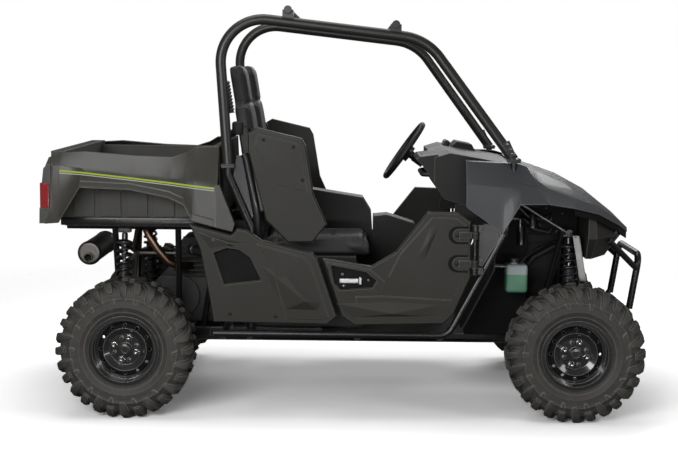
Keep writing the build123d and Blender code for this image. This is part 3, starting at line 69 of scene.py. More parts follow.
def moulded_surface_group():
    """Grain of a tool or a coat: cloudy tone, uneven gloss, fine bumps, pale dust and a painted highlight along edges.
    """
    group = bpy.data.node_groups.new("moulded_surface", "ShaderNodeTree")
    sockets = {
        "INPUT": {"Color": "Color", "Tone": "Float", "Roughness": "Float", "Grain Scale": "Float",
                  "Grain Depth": "Float", "Dust": "Float", "Painted Edge Highlight": "Float"},
        "OUTPUT": {"Color": "Color", "Roughness": "Float", "Normal": "Vector"},
    }
    for in_out, kinds in sockets.items():
        for name, kind in kinds.items():
            group.interface.new_socket(name, in_out=in_out, socket_type=f"NodeSocket{kind}")
    given = group.nodes.new("NodeGroupInput").outputs
    place = add_node(group, "ShaderNodeTexCoord").outputs["Object"]

    def reckon(operation, *feeds, clamp=False):
        node = add_node(group, "ShaderNodeMath", dict(enumerate(feeds)), operation=operation, use_clamp=clamp)
        return node.outputs[0]

    def noise(scale, detail, roughness=0.5):
        feeds = {"Vector": place, "Scale": scale, "Detail": detail, "Roughness": roughness}
        return add_node(group, "ShaderNodeTexNoise", feeds).outputs["Fac"]

    def share(value, none, all_of_it):
        feeds = {"Value": value, "From Min": none, "From Max": all_of_it}
        return add_node(group, "ShaderNodeMapRange", feeds).outputs[0]

    def mix(factor, first, second, blend="MIX"):
        feeds = {0: factor, 6: first, 7: second}
        return add_node(group, "ShaderNodeMix", feeds, data_type="RGBA", blend_type=blend).outputs[2]

    cloud = reckon("SUBTRACT", noise(5.0, 4.0), 0.5)
    shaded = mix(1.0, given["Color"], reckon("MULTIPLY_ADD", cloud, given["Tone"], 1.0), "MULTIPLY")
    dust = reckon("MULTIPLY", share(noise(38.0, 6.0, 0.7), 0.5, 0.8), given["Dust"])
    uneven = reckon("MULTIPLY_ADD", cloud, 0.25, given["Roughness"])
    rounded = add_node(group, "ShaderNodeBevel", {"Radius": EDGE_RADIUS}, samples=6).outputs["Normal"]
    face = add_node(group, "ShaderNodeNewGeometry").outputs["Normal"]
    # Edges turn paler where the bevel's normal leaves the face's normal: a painted highlight, its strength set per
    # material.
    along = add_node(group, "ShaderNodeVectorMath", {0: rounded, 1: face}, operation="DOT_PRODUCT").outputs["Value"]
    painted_highlight = reckon("MULTIPLY", share(along, 0.99, 0.90), given["Painted Edge Highlight"])
    grain = {"Height": noise(given["Grain Scale"], 3.0, 0.6), "Strength": given["Grain Depth"],
             "Distance": GRAIN_HEIGHT, "Normal": rounded}
    add_node(group, "NodeGroupOutput", {
        "Color": mix(painted_highlight, mix(dust, shaded, PALE_DUST), PAINTED_HIGHLIGHT_COLOUR),
        "Roughness": reckon("ADD", uneven, dust, clamp=True),
        "Normal": add_node(group, "ShaderNodeBump", grain).outputs["Normal"],
    })
    return group


MOULDED_SURFACE = moulded_surface_group()


def surface_material(name, colour, roughness, grain=400.0, depth=0.2, tone=0.25, dust=0.0, metallic=0.0, coat=0.0,
                     specular=0.5, painted_highlight=0.25):
    """A material whose colour, gloss and fine bumps come from the moulded surface group."""
    material = bpy.data.materials.new(name)
    material.use_nodes = True
    tree = material.node_tree
    feeds = {"Color": (*colour, 1), "Tone": tone, "Roughness": roughness, "Grain Scale": grain, "Grain Depth": depth,
             "Dust": dust, "Painted Edge Highlight": painted_highlight}
    surface = add_node(tree, "ShaderNodeGroup", feeds, node_tree=MOULDED_SURFACE)
    shader = tree.nodes["Principled BSDF"]
    plain = {"Metallic": metallic, "Coat Weight": coat, "Coat Roughness": 0.06, "Specular IOR Level": specular}
    for socket, value in plain.items():
        shader.inputs[socket].default_value = value
    for output, socket in (("Color", "Base Color"), ("Roughness", "Roughness"), ("Normal", "Normal")):
        tree.links.new(surface.outputs[output], shader.inputs[socket])
    return material


def dress(material, *names):
    """Puts one material on CAD nodes."""
    for name in names:
        slots = nodes[name].data.materials
        slots.clear()
        slots.append(material)


frame_coat = surface_material("frame_coat", (0.009, 0.009, 0.009), 0.26, grain=260.0, depth=0.12, dust=0.02,
                              painted_highlight=0.5)
dress(frame_coat, "frame_centre", "frame_front", "frame_rear", "cabin_frame", "box_frame", "hitch_receiver",
      "front_guard")
skid_plastic = surface_material("skid_plastic", (0.012, 0.012, 0.012), 0.62, grain=500.0, depth=0.3, dust=0.06)
dress(skid_plastic, "skid_plate")

# Suspension: welded tube wishbones in the frame's coat, forged alloy uprights and the steering rack's rods.
# The shocks are coil-overs: a black wound spring on an alloy damper body, a chromed rod and a rubber bump stop.

dress(frame_coat, "suspension_arms_front", "suspension_arms_rear", "tie_rods")
cast_alloy = surface_material("cast_alloy", (0.30, 0.30, 0.29), 0.5, grain=180.0, depth=0.5, metallic=1.0)
dress(cast_alloy, "knuckle_front_left", "knuckle_front_right", "hub_carriers_rear")
spring_coat = surface_material("spring_coat", (0.010, 0.010, 0.010), 0.28, grain=200.0, depth=0.08, coat=0.4)
damper_alloy = surface_material("damper_alloy", (0.055, 0.055, 0.056), 0.4, grain=300.0, depth=0.1, metallic=0.6)
rod_chrome = surface_material("rod_chrome", (0.62, 0.62, 0.62), 0.12, grain=90.0, depth=0.02, metallic=1.0)


def add_piece(name, shape, materials, body, replaced=(), smooth=35.0):
    """Makes a piece of a bmesh in the shared frame, shaded smooth up to an angle, and rides it on its body."""
    mesh = bpy.data.meshes.new(name)
    shape.to_mesh(mesh)
    shape.free()
    for material in materials:
        mesh.materials.append(material)
    mesh.shade_smooth()
    mesh.set_sharp_from_angle(angle=radians(smooth))
    piece = bpy.data.objects.new(name, mesh)
    bpy.context.scene.collection.objects.link(piece)
    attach(piece, body)
    if replaced:
        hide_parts(*replaced)
    return piece


ALONG_Y, ALONG_Z = Vector((0, 1, 0)), Vector((0, 0, 1))


def lay_line(shape, points, closed=False):
    """A line of edges through points; returns its corners and edges."""
    corners = [shape.verts.new(point) for point in points]
    after = corners[1:] + corners[:1] if closed else corners[1:]
    return corners, [shape.edges.new(ends) for ends in zip(corners, after)]


def settle_faces(shape, faces_before, material):
    """Gives the faces made since faces_before a material and turns them outwards; returns them."""
    made = [f for f in shape.faces if f not in faces_before]
    for face in made:
        face.material_index = material
    bmesh.ops.recalc_face_normals(shape, faces=made)
    return made


def turn_profile(shape, profile, steps, material=0, axis=ALONG_Z):
    """Spins (radius, along) points about an axis through the origin; returns the new vertices."""
    verts_before, faces_before = set(shape.verts), set(shape.faces)
    chain, edges = lay_line(shape, [Vector((radius, 0, 0)) + axis * along for radius, along in profile])
    bmesh.ops.spin(shape, geom=chain + edges, cent=(0, 0, 0), axis=axis, angle=2 * pi, steps=steps, use_merge=True)
    bmesh.ops.remove_doubles(shape, verts=[v for v in shape.verts if v not in verts_before], dist=1e-6)
    settle_faces(shape, faces_before, material)
    return [v for v in shape.verts if v not in verts_before]


def stand_between(shape, verts, foot, top):
    """Carries a form made along +Z from the origin to the line from foot to top."""
    foot, top = Vector(foot), Vector(top)
    turn = ALONG_Z.rotation_difference(top - foot).to_matrix().to_4x4()
    bmesh.ops.transform(shape, matrix=Matrix.Translation(foot) @ turn, verts=verts)


SPRING_TURNS, SPRING_RADIUS, SPRING_WIRE = 8.5, 0.0325, 0.0070
SPRING_SEAT = 0.052  # from each eye to the spring's end
SHOCKS = (
    # end, x
    ("front", 1.069),
    ("rear", -1.102),
)
SHOCK_FOOT, SHOCK_TOP = (0.470, 0.4577), (0.410, 0.8474)  # y from the middle, z


def coil_over(shape, foot, top):
    """One shock: lower eye and body, wound spring on two seats, rod, bump stop and upper eye."""
    length = (Vector(top) - Vector(foot)).length
    mouth, rod_foot, rod_top = length * 0.60, length * 0.55, length - 0.06
    body = [(0, 0.001), (0.014, 0.001), (0.015, 0.014), (0.015, 0.036), (0.037, 0.042), (0.040, 0.046), (0.040, 0.052),
            (0.024, 0.054), (0.024, mouth), (0.021, mouth + 0.004), (0.0, mouth + 0.005)]
    rod = [(0.0, rod_foot), (0.0085, rod_foot), (0.0085, rod_top), (0.0, rod_top)]
    stop = ((0.009, 0.11), (0.017, 0.108), (0.014, 0.098), (0.018, 0.090), (0.015, 0.080), (0.019, 0.070),
            (0.019, 0.056), (0.0, 0.056))
    head = ((0.0, 0.054), (0.024, 0.053), (0.040, 0.052), (0.040, 0.045), (0.030, 0.040), (0.015, 0.034),
            (0.015, 0.012), (0.013, 0.001), (0, 0.001))
    stop, head = [[(radius, length - below) for radius, below in profile] for profile in (stop, head)]
    made = []
    for profile, steps, material in ((body, 32, 1), (rod, 20, 2), (stop, 24, 0), (head, 32, 0)):
        made += turn_profile(shape, profile, steps, material)
    verts_before = set(shape.verts)
    place = Matrix.Translation((SPRING_RADIUS, 0, SPRING_SEAT + SPRING_WIRE)) @ Matrix.Rotation(pi / 2, 4, "X")
    ring = bmesh.ops.create_circle(shape, segments=10, radius=SPRING_WIRE, matrix=place)["verts"]
    edges = list({e for v in ring for e in v.link_edges})
    steps = int(SPRING_TURNS * 28)
    climb = (length - 2 * SPRING_SEAT - 2 * SPRING_WIRE) / steps
    bmesh.ops.spin(shape, geom=ring + edges, cent=(0, 0, 0), axis=ALONG_Z, dvec=(0, 0, climb),
                   angle=2 * pi * SPRING_TURNS, steps=steps)
    coil = [v for v in shape.verts if v not in verts_before]
    bmesh.ops.recalc_face_normals(shape, faces=list({f for v in coil for f in v.link_faces}))
    stand_between(shape, made + coil, foot, top)


for end, x in SHOCKS:
    shocks = bmesh.new()
    for side in (-1, 1):
        coil_over(shocks, *[(x, side * y, z) for y, z in (SHOCK_FOOT, SHOCK_TOP)])
    add_piece(f"coil_overs_{end}", shocks, [spring_coat, damper_alloy, rod_chrome], "chassis",
              (f"shocks_{end}",), 50.0)

# Drive: cast alloy engine and gear cases under the seats and box, with black half shafts to the wheels.
# Cases are sand cast, so they are dull and grainy, and they hold the dust of the bay.

drive_alloy = surface_material("drive_alloy", (0.035, 0.035, 0.034), 0.48, grain=160.0, depth=0.6, metallic=0.7,
                               dust=0.10)
dress(drive_alloy, "front_drive", "rear_drive", "engine")

# Wheels: pressed steel rims in gloss black with zinc nuts, and bias-ply trail tyres with deep lugs.
# Each tyre is one carcass with moulded lugs in chevrons, long and short by turns, that wrap both shoulders.

tyre_rubber = surface_material("tyre_rubber", (0.042, 0.0400, 0.0355), 0.6, grain=320.0, depth=0.35, tone=0.5,
                               dust=0.30, painted_highlight=0.5)
rim_gloss = surface_material("rim_gloss", (0.016, 0.016, 0.0165), 0.2, grain=220.0, depth=0.04, coat=0.8, painted_highlight=0.6)
TYRE_LUGS = 14
LUG_TAPER, LUG_BEVEL = 0.84, 0.0035
SIDE_WALL = (
    # radius, depth below the tyre's side
    (0.1535, 0.030), (0.158, 0.0235), (0.170, 0.019), (0.180, 0.0125), (0.183, 0.010), (0.187, 0.0105),
    (0.190, 0.0085), (0.206, 0.0045), (0.209, 0.0025), (0.213, 0.003), (0.232, 0.0022), (0.246, 0.004),
    (0.250, 0.002), (0.254, 0.006), (0.272, 0.012), (0.288, 0.020), (0.299, 0.032), (0.305, 0.050),
)


def verts_of(geom):
    """The vertices among an operator's results."""
    return [g for g in geom if isinstance(g, bmesh.types.BMVert)]


def whole(shape):
    """All of a shape, as operators take it."""
    return shape.verts[:] + shape.edges[:] + shape.faces[:]


def grow(shape, edges):
    """Extrudes a line of edges where it lies; returns its new vertices and edges."""
    geom = bmesh.ops.extrude_edge_only(shape, edges=edges)["geom"]
    fresh = verts_of(geom)
    return fresh, [g for g in geom if isinstance(g, bmesh.types.BMEdge) and g.verts[0] in fresh and g.verts[1] in fresh]


def sweep_rows(shape, chain, edges, rows):
    """Extrudes a line of edges from row to row of points; returns its last edges."""
    for row in rows:
        fresh, edges = grow(shape, edges)
        chain = [min(fresh, key=lambda v: (v.co - old.co).length) for old in chain]
        for vert, point in zip(chain, row):
            vert.co = point
    return edges


def strip_lug(shape, stations, width_angle):
    """A lug on stations of (y, foot radius, top radius, top y, turn, spread): a strip, raised and bevelled."""
    feet, tops = [], []
    for y, r_foot, r_top, y_top, turn, spread in stations:
        half = width_angle * spread / 2
        feet.append([Vector((sin(turn + a) * r_foot, y, cos(turn + a) * r_foot)) for a in (half, -half)])
        half *= LUG_TAPER
        tops.append([Vector((sin(turn + a) * r_top, y_top, cos(turn + a) * r_top)) for a in (half, -half)])
    faces_before = set(shape.faces)
    sweep_rows(shape, *lay_line(shape, feet[0]), feet[1:])
    strip = [f for f in shape.faces if f not in faces_before]
    raised = bmesh.ops.extrude_face_region(shape, geom=strip)["geom"]
    fresh = verts_of(raised)
    for foot_pair, top_pair in zip(feet, tops):
        for foot, top in zip(foot_pair, top_pair):
            near = min(fresh, key=lambda v: (v.co - foot).length)
            fresh.remove(near)
            near.co = top
    top_faces = [g for g in raised if isinstance(g, bmesh.types.BMFace)]
    rim = {e for f in top_faces for e in f.edges if sum(g in top_faces for g in e.link_faces) == 1}
    bmesh.ops.bevel(shape, geom=list(rim), offset=LUG_BEVEL, offset_type="OFFSET", affect="EDGES", segments=1,
                    profile=0.5, material=-1)


def tyre_shape(width):
    """A tyre about the Y axis at the origin: carcass with ribbed side walls, then lugs all round on both shoulders."""
    half, pitch = width / 2, 2 * pi / TYRE_LUGS
    shape = bmesh.new()
    wall = [(radius, half - depth) for radius, depth in SIDE_WALL] + [(0.308, half * 0.3)]
    turn_profile(shape, wall + [(radius, -y) for radius, y in reversed(wall)], 96, axis=ALONG_Y)
    lugs = bmesh.new()
    long_lug = [
        (0.010, 0.304, 0.3262, 0.008, 0.15, 0.62),
        (half * 0.45, 0.304, 0.3265, half * 0.45, 0.10, 0.80),
        (half - 0.044, 0.301, 0.3262, half - 0.034, 0.03, 1.0),
        (half - 0.028, 0.288, 0.3050, half - 0.0085, 0.0, 1.14),
        (half - 0.018, 0.264, 0.270, half - 0.0003, -0.01, 1.04),
        (half - 0.014, 0.243, 0.243, half - 0.0006, -0.03, 0.62),
    ]
    short_lug = [
        (half * 0.50, 0.303, 0.3262, half * 0.54, 0.065 + pitch / 2, 0.66),
        (half - 0.044, 0.301, 0.3264, half - 0.034, 0.02 + pitch / 2, 0.96),
        (half - 0.028, 0.288, 0.3050, half - 0.0085, pitch / 2, 1.14),
        (half - 0.020, 0.272, 0.277, half - 0.0012, pitch / 2 - 0.01, 0.92),
    ]
    side_bar = [
        (half - 0.014, 0.254, 0.257, half - 0.0006, pitch / 2 - 0.015, 0.50),
        (half - 0.012, 0.228, 0.2285, half - 0.0002, pitch / 2 - 0.035, 0.30),
    ]
    for stations, width_angle in ((long_lug, 0.130), (short_lug, 0.126), (side_bar, 0.22)):
        strip_lug(lugs, stations, width_angle)
    bmesh.ops.recalc_face_normals(lugs, faces=lugs.faces)
    bmesh.ops.spin(lugs, geom=whole(lugs), cent=(0, 0, 0), axis=ALONG_Y, angle=2 * pi, steps=TYRE_LUGS,
                   use_duplicate=True)
    bmesh.ops.remove_doubles(lugs, verts=lugs.verts, dist=1e-5)
    other = bmesh.ops.duplicate(lugs, geom=whole(lugs))["geom"]
    across = Matrix.Rotation(pitch / 2, 4, "Y") @ Matrix.Scale(-1, 4, ALONG_Y)
    bmesh.ops.transform(lugs, matrix=across, verts=verts_of(other))
    bmesh.ops.reverse_faces(lugs, faces=[g for g in other if isinstance(g, bmesh.types.BMFace)])
    holder = bpy.data.meshes.new("lug_ring")
    lugs.to_mesh(holder)
    lugs.free()
    shape.from_mesh(holder)
    bpy.data.meshes.remove(holder)
    return shape


def wheel_trim(face):
    """Zinc wheel nuts with flanges and domes, the hub's cap and the valve, about the Y axis at a wheel's middle."""
    shape = bmesh.new()
    for k in range(4):
        angle = radians(18) + k * pi / 2
        nut = turn_profile(shape, [(0.0165, 0), (0.0165, 0.003), (0.0125, 0.004)], 24)
        nut += turn_profile(shape, [(0.0125, 0.003), (0.0125, 0.017), (0.0108, 0.0185)], 6)
        nut += turn_profile(shape, [(0.0108, 0.0185), (0.0095, 0.022), (0.006, 0.0255), (0, 0.027)], 12)
        foot = Vector((0.055 * cos(angle), face + 0.0085, 0.055 * sin(angle)))
        stand_between(shape, nut, foot, foot + ALONG_Y)
    cap = ((0.0308, 0.009), (0.0308, 0.025), (0.0275, 0.0305), (0.017, 0.0318), (0.0155, 0.0302), (0, 0.0302))
    turn_profile(shape, [(radius, face + proud) for radius, proud in cap], 48, 1, ALONG_Y)
    valve = turn_profile(shape, [(0.0055, 0), (0.0045, 0.012), (0.0042, 0.026), (0, 0.0268)], 12, 1)
    stand_between(shape, valve, (0.0, face - 0.002, 0.139), (0.0, face + 0.026, 0.134))
    return shape


WHEELS = (
    # end, axle x, tyre width
    ("front", 1.069, 0.203),
    ("rear", -1.057, 0.254),
)
HALF_WIDTH, AXLE_HEIGHT = 0.762, 0.327
HUB_DEPTH = 0.071  # of the rim's centre below the tyre's side
SIDES = (("left", 1), ("right", -1))
nut_zinc = surface_material("nut_zinc", (0.62, 0.61, 0.58), 0.24, grain=140.0, depth=0.12, metallic=1.0)
cap_gloss = surface_material("cap_gloss", (0.012, 0.012, 0.012), 0.3, grain=300.0, depth=0.1, coat=0.3)
for end, axle_x, width in WHEELS:
    for side_name, side in SIDES:
        corner = f"{end}_{side_name}"
        tyre, trim = tyre_shape(width), wheel_trim(width / 2 - HUB_DEPTH)
        for shape in (tyre, trim):
            if side < 0:
                bmesh.ops.rotate(shape, cent=(0, 0, 0), matrix=Matrix.Rotation(pi, 3, "X"), verts=shape.verts)
            bmesh.ops.translate(shape, vec=(axle_x, side * (HALF_WIDTH - width / 2), AXLE_HEIGHT), verts=shape.verts)
        body = f"wheel_{corner}"
        add_piece(f"lugged_tyre_{corner}", tyre, [tyre_rubber], body, (f"tyre_{corner}",), 40.0)
        add_piece(f"wheel_nuts_{corner}", trim, [nut_zinc, cap_gloss], body)
        dress(rim_gloss, f"rim_{corner}")

# Cabin floor, seat base, console, dash and column: rotational and injection mouldings in black polyethylene.
# They carry a fine leather-like tool grain that keeps them matt; pedals, lever, switches and gauge are bolted to them.


def pipe(shape, points, radius, sides=16, material=0):
    """A bent rod or hose: a ring carried along a line of points, mitred at each bend and capped at both ends."""
    points = [Vector(p) for p in points]
    faces_before = set(shape.faces)
    legs = [(b - a).normalized() for a, b in zip(points, points[1:])]
    facings = legs[:1] + [(a + b).normalized() for a, b in zip(legs, legs[1:])] + legs[-1:]
    place = Matrix.Translation(points[0]) @ ALONG_Z.rotation_difference(legs[0]).to_matrix().to_4x4()
    ring = bmesh.ops.create_circle(shape, segments=sides, radius=radius, matrix=place)["verts"]
    edges = list({e for v in ring for e in v.link_edges})
    bmesh.ops.contextual_create(shape, geom=edges)
    for k in range(1, len(points)):
        ring, edges = grow(shape, edges)
        bend = facings[k - 1].rotation_difference(facings[k]).to_matrix()
        bmesh.ops.translate(shape, vec=points[k] - points[k - 1], verts=ring)
        bmesh.ops.rotate(shape, cent=points[k], matrix=bend, verts=ring)
    bmesh.ops.contextual_create(shape, geom=edges)
    settle_faces(shape, faces_before, material)


def brick(shape, middle, size, round_off, material=0, turn=Matrix.Identity(4)):
    """A block with rounded edges."""
    faces_before = set(shape.faces)
    place = Matrix.Translation(middle) @ turn @ Matrix.Diagonal((*size, 1))
    verts = bmesh.ops.create_cube(shape, size=1.0, matrix=place)["verts"]
    edges = list({e for v in verts for e in v.link_edges})
    bmesh.ops.bevel(shape, geom=edges, offset=round_off, offset_type="OFFSET", affect="EDGES", segments=2, profile=0.5,
                    material=-1)
    settle_faces(shape, faces_before, material)


def plate(shape, outline, y_low, y_high, material=0):
    """A flat plate with an outline of (x, z) points, from one y to another."""
    faces_before = set(shape.faces)
    edges = lay_line(shape, [(x, y_low, z) for x, z in outline], closed=True)[1]
    face = bmesh.ops.contextual_create(shape, geom=edges)["faces"]
    lifted = bmesh.ops.extrude_face_region(shape, geom=face, use_keep_orig=True)["geom"]
    bmesh.ops.translate(shape, vec=(0, y_high - y_low, 0), verts=verts_of(lifted))
    settle_faces(shape, faces_before, material)


cabin_plastic = surface_material("cabin_plastic", (0.011, 0.0108, 0.0100), 0.52, grain=520.0, depth=0.45, dust=0.02,
                                 specular=0.32, painted_highlight=0.45)
dress(cabin_plastic, "floor_pan", "seat_box", "centre_console", "dash", "steering_column")
grip_plastic = surface_material("grip_plastic", (0.008, 0.008, 0.008), 0.5, grain=420.0, depth=0.4)
dress(grip_plastic, "steering_wheel")
gauge_glass = surface_material("gauge_glass", (0.006, 0.008, 0.008), 0.06, grain=40.0, depth=0.01, coat=0.6)
switch_plastic = surface_material("switch_plastic", (0.02, 0.02, 0.02), 0.35, grain=300.0, depth=0.15)

GAUGE_TILT, PEDAL_TILT = [Matrix.Rotation(radians(angle), 4, "Y") for angle in (24, 28)]
KICK_PANEL = [(0.490, 0.890), (0.640, 0.890), (0.698, 0.985), (0.698, 1.010), (0.505, 1.010)]
LEVER_KNOB = [(0, -0.028), (0.012, -0.026), (0.020, -0.008), (0.022, 0.006), (0.017, 0.020), (0, 0.025)]
PEDALS = ((0.235, 0.112), (0.385, 0.070))  # y, height of the pad
GRAB_END = [(0.410, -0.160, 1.150), (0.372, -0.160, 1.150), (0.356, -0.168, 1.150), (0.350, -0.190, 1.150)]
controls = bmesh.new()
brick(controls, (0.508, 0.300, 1.258), (0.030, 0.150, 0.046), 0.008, 0, GAUGE_TILT)
brick(controls, (0.4935, 0.300, 1.264), (0.004, 0.120, 0.032), 0.0015, 2, GAUGE_TILT)
for k in range(5):
    brick(controls, (0.399, 0.030 + k * 0.034, 1.190), (0.014, 0.024, 0.040), 0.003, 3)
for y in (0.020, 0.110):
    pipe(controls, [(0.404, y, 1.135), (0.394, y, 1.135)], 0.014, 20, 3)
pipe(controls, [(0.404, 0.215, 1.150), (0.372, 0.215, 1.160), (0.330, 0.215, 1.196)], 0.007, 14, 0)
stand_between(controls, turn_profile(controls, LEVER_KNOB, 24, 1), (0.322, 0.215, 1.203), (0.30, 0.215, 1.223))
for y, high in PEDALS:
    brick(controls, (0.588, y, 0.600), (0.014, 0.066, high), 0.005, 1, PEDAL_TILT)
    pipe(controls, [(0.596, y, 0.610), (0.628, y, 0.690), (0.668, y, 0.800), (0.688, y, 0.812)], 0.008, 12, 0)
pipe(controls, GRAB_END + [(x, -0.600 - y, z) for x, y, z in reversed(GRAB_END)], 0.013, 18, 1)
for side in (-1, 1):
    plate(controls, KICK_PANEL, side * 0.500, side * 0.504, 0)
add_piece("cabin_controls", controls, [cabin_plastic, grip_plastic, gauge_glass, switch_plastic], "chassis")

# Engine bay behind the seats: cast cooling fins, rubber intake ducts with zinc clamps, and hoses to the box rails.
# The exhaust header is bent steel tube, browned by heat, welded up in two runs between engine and muffler.

header_steel = surface_material("header_steel", (0.20, 0.13, 0.09), 0.36, grain=120.0, depth=0.2, metallic=1.0,
                                tone=0.7)
clamp_zinc = surface_material("clamp_zinc", (0.55, 0.54, 0.52), 0.28, grain=140.0, depth=0.1, metallic=1.0)
ENGINE_FACES = {-1: -0.207, 1: 0.187}  # y of the engine's sides
HEADER = [(-1.030, -0.280, 0.878), (-1.000, -0.300, 0.818), (-0.956, -0.305, 0.752), (-0.906, -0.300, 0.690),
          (-0.850, -0.275, 0.660), (-0.800, -0.200, 0.655)]
HEADER_TAIL = [HEADER[0], (-1.060, -0.240, 0.850), (-1.080, -0.170, 0.790), (-1.100, -0.110, 0.745)]
bay_parts = bmesh.new()
for side, face in ENGINE_FACES.items():
    for k in range(7):
        brick(bay_parts, (-0.790, face, 0.610 + 0.024 * k), (0.200, 0.022, 0.007), 0.002, 1)
    inside = face - side * 0.005
    duct = [(-0.600, side * 0.657, 0.740), (-0.640, side * 0.580, 0.752), (-0.700, side * 0.470, 0.760),
            (-0.758, side * 0.340, 0.756), (-0.800, inside, 0.740)]
    pipe(bay_parts, duct, 0.026, 20, 0)
    for start, end in ((duct[1], duct[2]), (duct[3], duct[4])):
        along = (Vector(end) - Vector(start)).normalized()
        pipe(bay_parts, [Vector(start) + along * 0.020, Vector(start) + along * 0.030], 0.0285, 20, 2)
    for x, z in ((-0.700, 0.700), (-0.840, 0.660)):
        run = [(x - 0.020, inside, z), (x - 0.020, side * 0.255, z + 0.010), (x - 0.012, side * 0.320, z + 0.055),
               (x - 0.004, side * 0.375, z + 0.115), (x, side * 0.400, 0.866)]
        pipe(bay_parts, run, 0.009, 14, 0)
for run in (HEADER, HEADER_TAIL):
    pipe(bay_parts, run, 0.019, 22, 3)
add_piece("bay_parts", bay_parts, [grip_plastic, drive_alloy, clamp_zinc, header_steel], "chassis")

# Seats: moulded foam under black vinyl, one cushion and one back for each person, sewn in channels.
# Each cover is blown up by cloth pressure from its CAD form, then its seams are drawn in.


def node_shape(node):
    """A CAD node's triangles in the shared frame, joined into one skin."""
    shape = bmesh.new()
    shape.from_mesh(nodes[node].data)
    bmesh.ops.transform(shape, matrix=nodes[node].matrix_world, verts=shape.verts)
    bmesh.ops.remove_doubles(shape, verts=shape.verts, dist=1e-5)
    return shape


def bake_modifiers(piece):
    """Writes a piece's modifiers into its mesh."""
    shown = piece.evaluated_get(bpy.context.evaluated_depsgraph_get())
    baked = bpy.data.meshes.new_from_object(shown)
    piece.modifiers.clear()
    piece.data = baked


SEAT_MIDDLE = 0.300
BACK_LEAN = radians(9.4)
BACK_FOOT = Vector((-0.395, SEAT_MIDDLE, 0.843))
BACK_UP = Vector((-sin(BACK_LEAN), 0, cos(BACK_LEAN)))
BACK_OUT = Vector((cos(BACK_LEAN), 0, sin(BACK_LEAN)))
COVER_GRID = 0.006
COVER_PRESSURE, COVER_STEPS = 4.0, 20
SIDE_SPARE = 0.004  # how far a cover may bulge past its form's sides
SEAM_DEPTH, SEAM_WIDTH = 0.007, 0.008


def cushion_seam(point):
    """Distance to the nearest seam of a seat cushion."""
    u, x = abs(point.y - SEAT_MIDDLE), point.x
    lines = [abs(u - 0.140) if x < 0.075 else 1.0, abs(x - 0.075)]
    lines += [abs(x - s) if u < 0.140 else 1.0 for s in (-0.245, -0.085)]
    return min(lines)


def back_seam(point):
    """Distance to the nearest seam of a seat back."""
    up, u = (point - BACK_FOOT).dot(BACK_UP), abs(point.y - SEAT_MIDDLE)
    lines = [abs(u - 0.135) if 0.03 < up < 0.64 else 1.0, abs(up - 0.650)]
    lines += [abs(up - s) if u < 0.135 else 1.0 for s in (0.22, 0.44)]
    return min(lines)


def stuffed_pads(name, node, shrink, cap, floor, out, seam):
    """Both covers of a paired cushion: the left one blown up above the plane it rests on, then copied to the right."""
    shape = node_shape(node)
    bmesh.ops.delete(shape, geom=[v for v in shape.verts if v.co.y < 0], context="VERTS")
    low, high = [Vector([pick(v.co[k] for v in shape.verts) for k in range(3)]) for pick in (min, max)]
    bmesh.ops.scale(shape, vec=shrink, space=Matrix.Translation((low + high) / -2), verts=shape.verts)
    mesh = bpy.data.meshes.new(name)
    shape.to_mesh(mesh)
    shape.free()
    pad = bpy.data.objects.new(name, mesh)
    bpy.context.scene.collection.objects.link(pad)
    remesh = pad.modifiers.new("even_mesh", "REMESH")
    remesh.mode = "VOXEL"
    remesh.voxel_size = COVER_GRID
    bake_modifiers(pad)
    rest = [v.co.copy() for v in pad.data.vertices]
    cover = pad.modifiers.new("cover", "CLOTH")
    cover.settings.use_pressure = True
    cover.settings.uniform_pressure_force = COVER_PRESSURE
    cover.settings.effector_weights.gravity = 0.0
    cover.settings.quality = 4
    for step in range(1, COVER_STEPS + 1):
        bpy.context.scene.frame_set(step)
    bake_modifiers(pad)
    bpy.context.scene.frame_set(1)
    for vert, start in zip(pad.data.vertices, rest):
        move = vert.co - start
        if move.length > cap:
            move = move.normalized() * cap
        point = start + move
        point.y = min(max(point.y, low.y - SIDE_SPARE), high.y + SIDE_SPARE)
        under = (point - floor).dot(out)
        vert.co = point - out * under if under < 0 else point
    pad.data.update()
    normals = [v.normal.copy() for v in pad.data.vertices]
    for vert, normal in zip(pad.data.vertices, normals):
        if normal.dot(out) > 0.2:
            vert.co = vert.co - normal * SEAM_DEPTH * exp(-((seam(vert.co) / SEAM_WIDTH) ** 2))
    pads = bmesh.new()
    pads.from_mesh(pad.data)
    bpy.data.objects.remove(pad)
    bmesh.ops.smooth_vert(pads, verts=pads.verts, factor=0.3, use_axis_x=True, use_axis_y=True, use_axis_z=True)
    twin = bmesh.ops.duplicate(pads, geom=whole(pads))["geom"]
    bmesh.ops.translate(pads, vec=(0, -2 * SEAT_MIDDLE, 0), verts=verts_of(twin))
    piece = add_piece(name, pads, [seat_vinyl], "chassis", (node,), 180.0)
    round_off = piece.modifiers.new("round_off", "SUBSURF")
    round_off.levels = round_off.render_levels = 1


seat_vinyl = surface_material("seat_vinyl", (0.012, 0.012, 0.012), 0.56, grain=380.0, depth=0.5, painted_highlight=0.0)
cushion_low = Vector(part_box("seat_cushions")[0])
stuffed_pads("cushion_covers", "seat_cushions", (0.965, 0.94, 0.88), 0.016, cushion_low, ALONG_Z, cushion_seam)
stuffed_pads("back_covers", "seat_backs", (0.95, 0.95, 0.97), 0.014, BACK_FOOT - BACK_OUT * 0.062, BACK_OUT, back_seam)

# Seat belts: black webbing from a guide on the shoulder bar, down the outer edge of each back to a floor anchor.
# The buckle stands beside the console on a short stalk; its button is red.


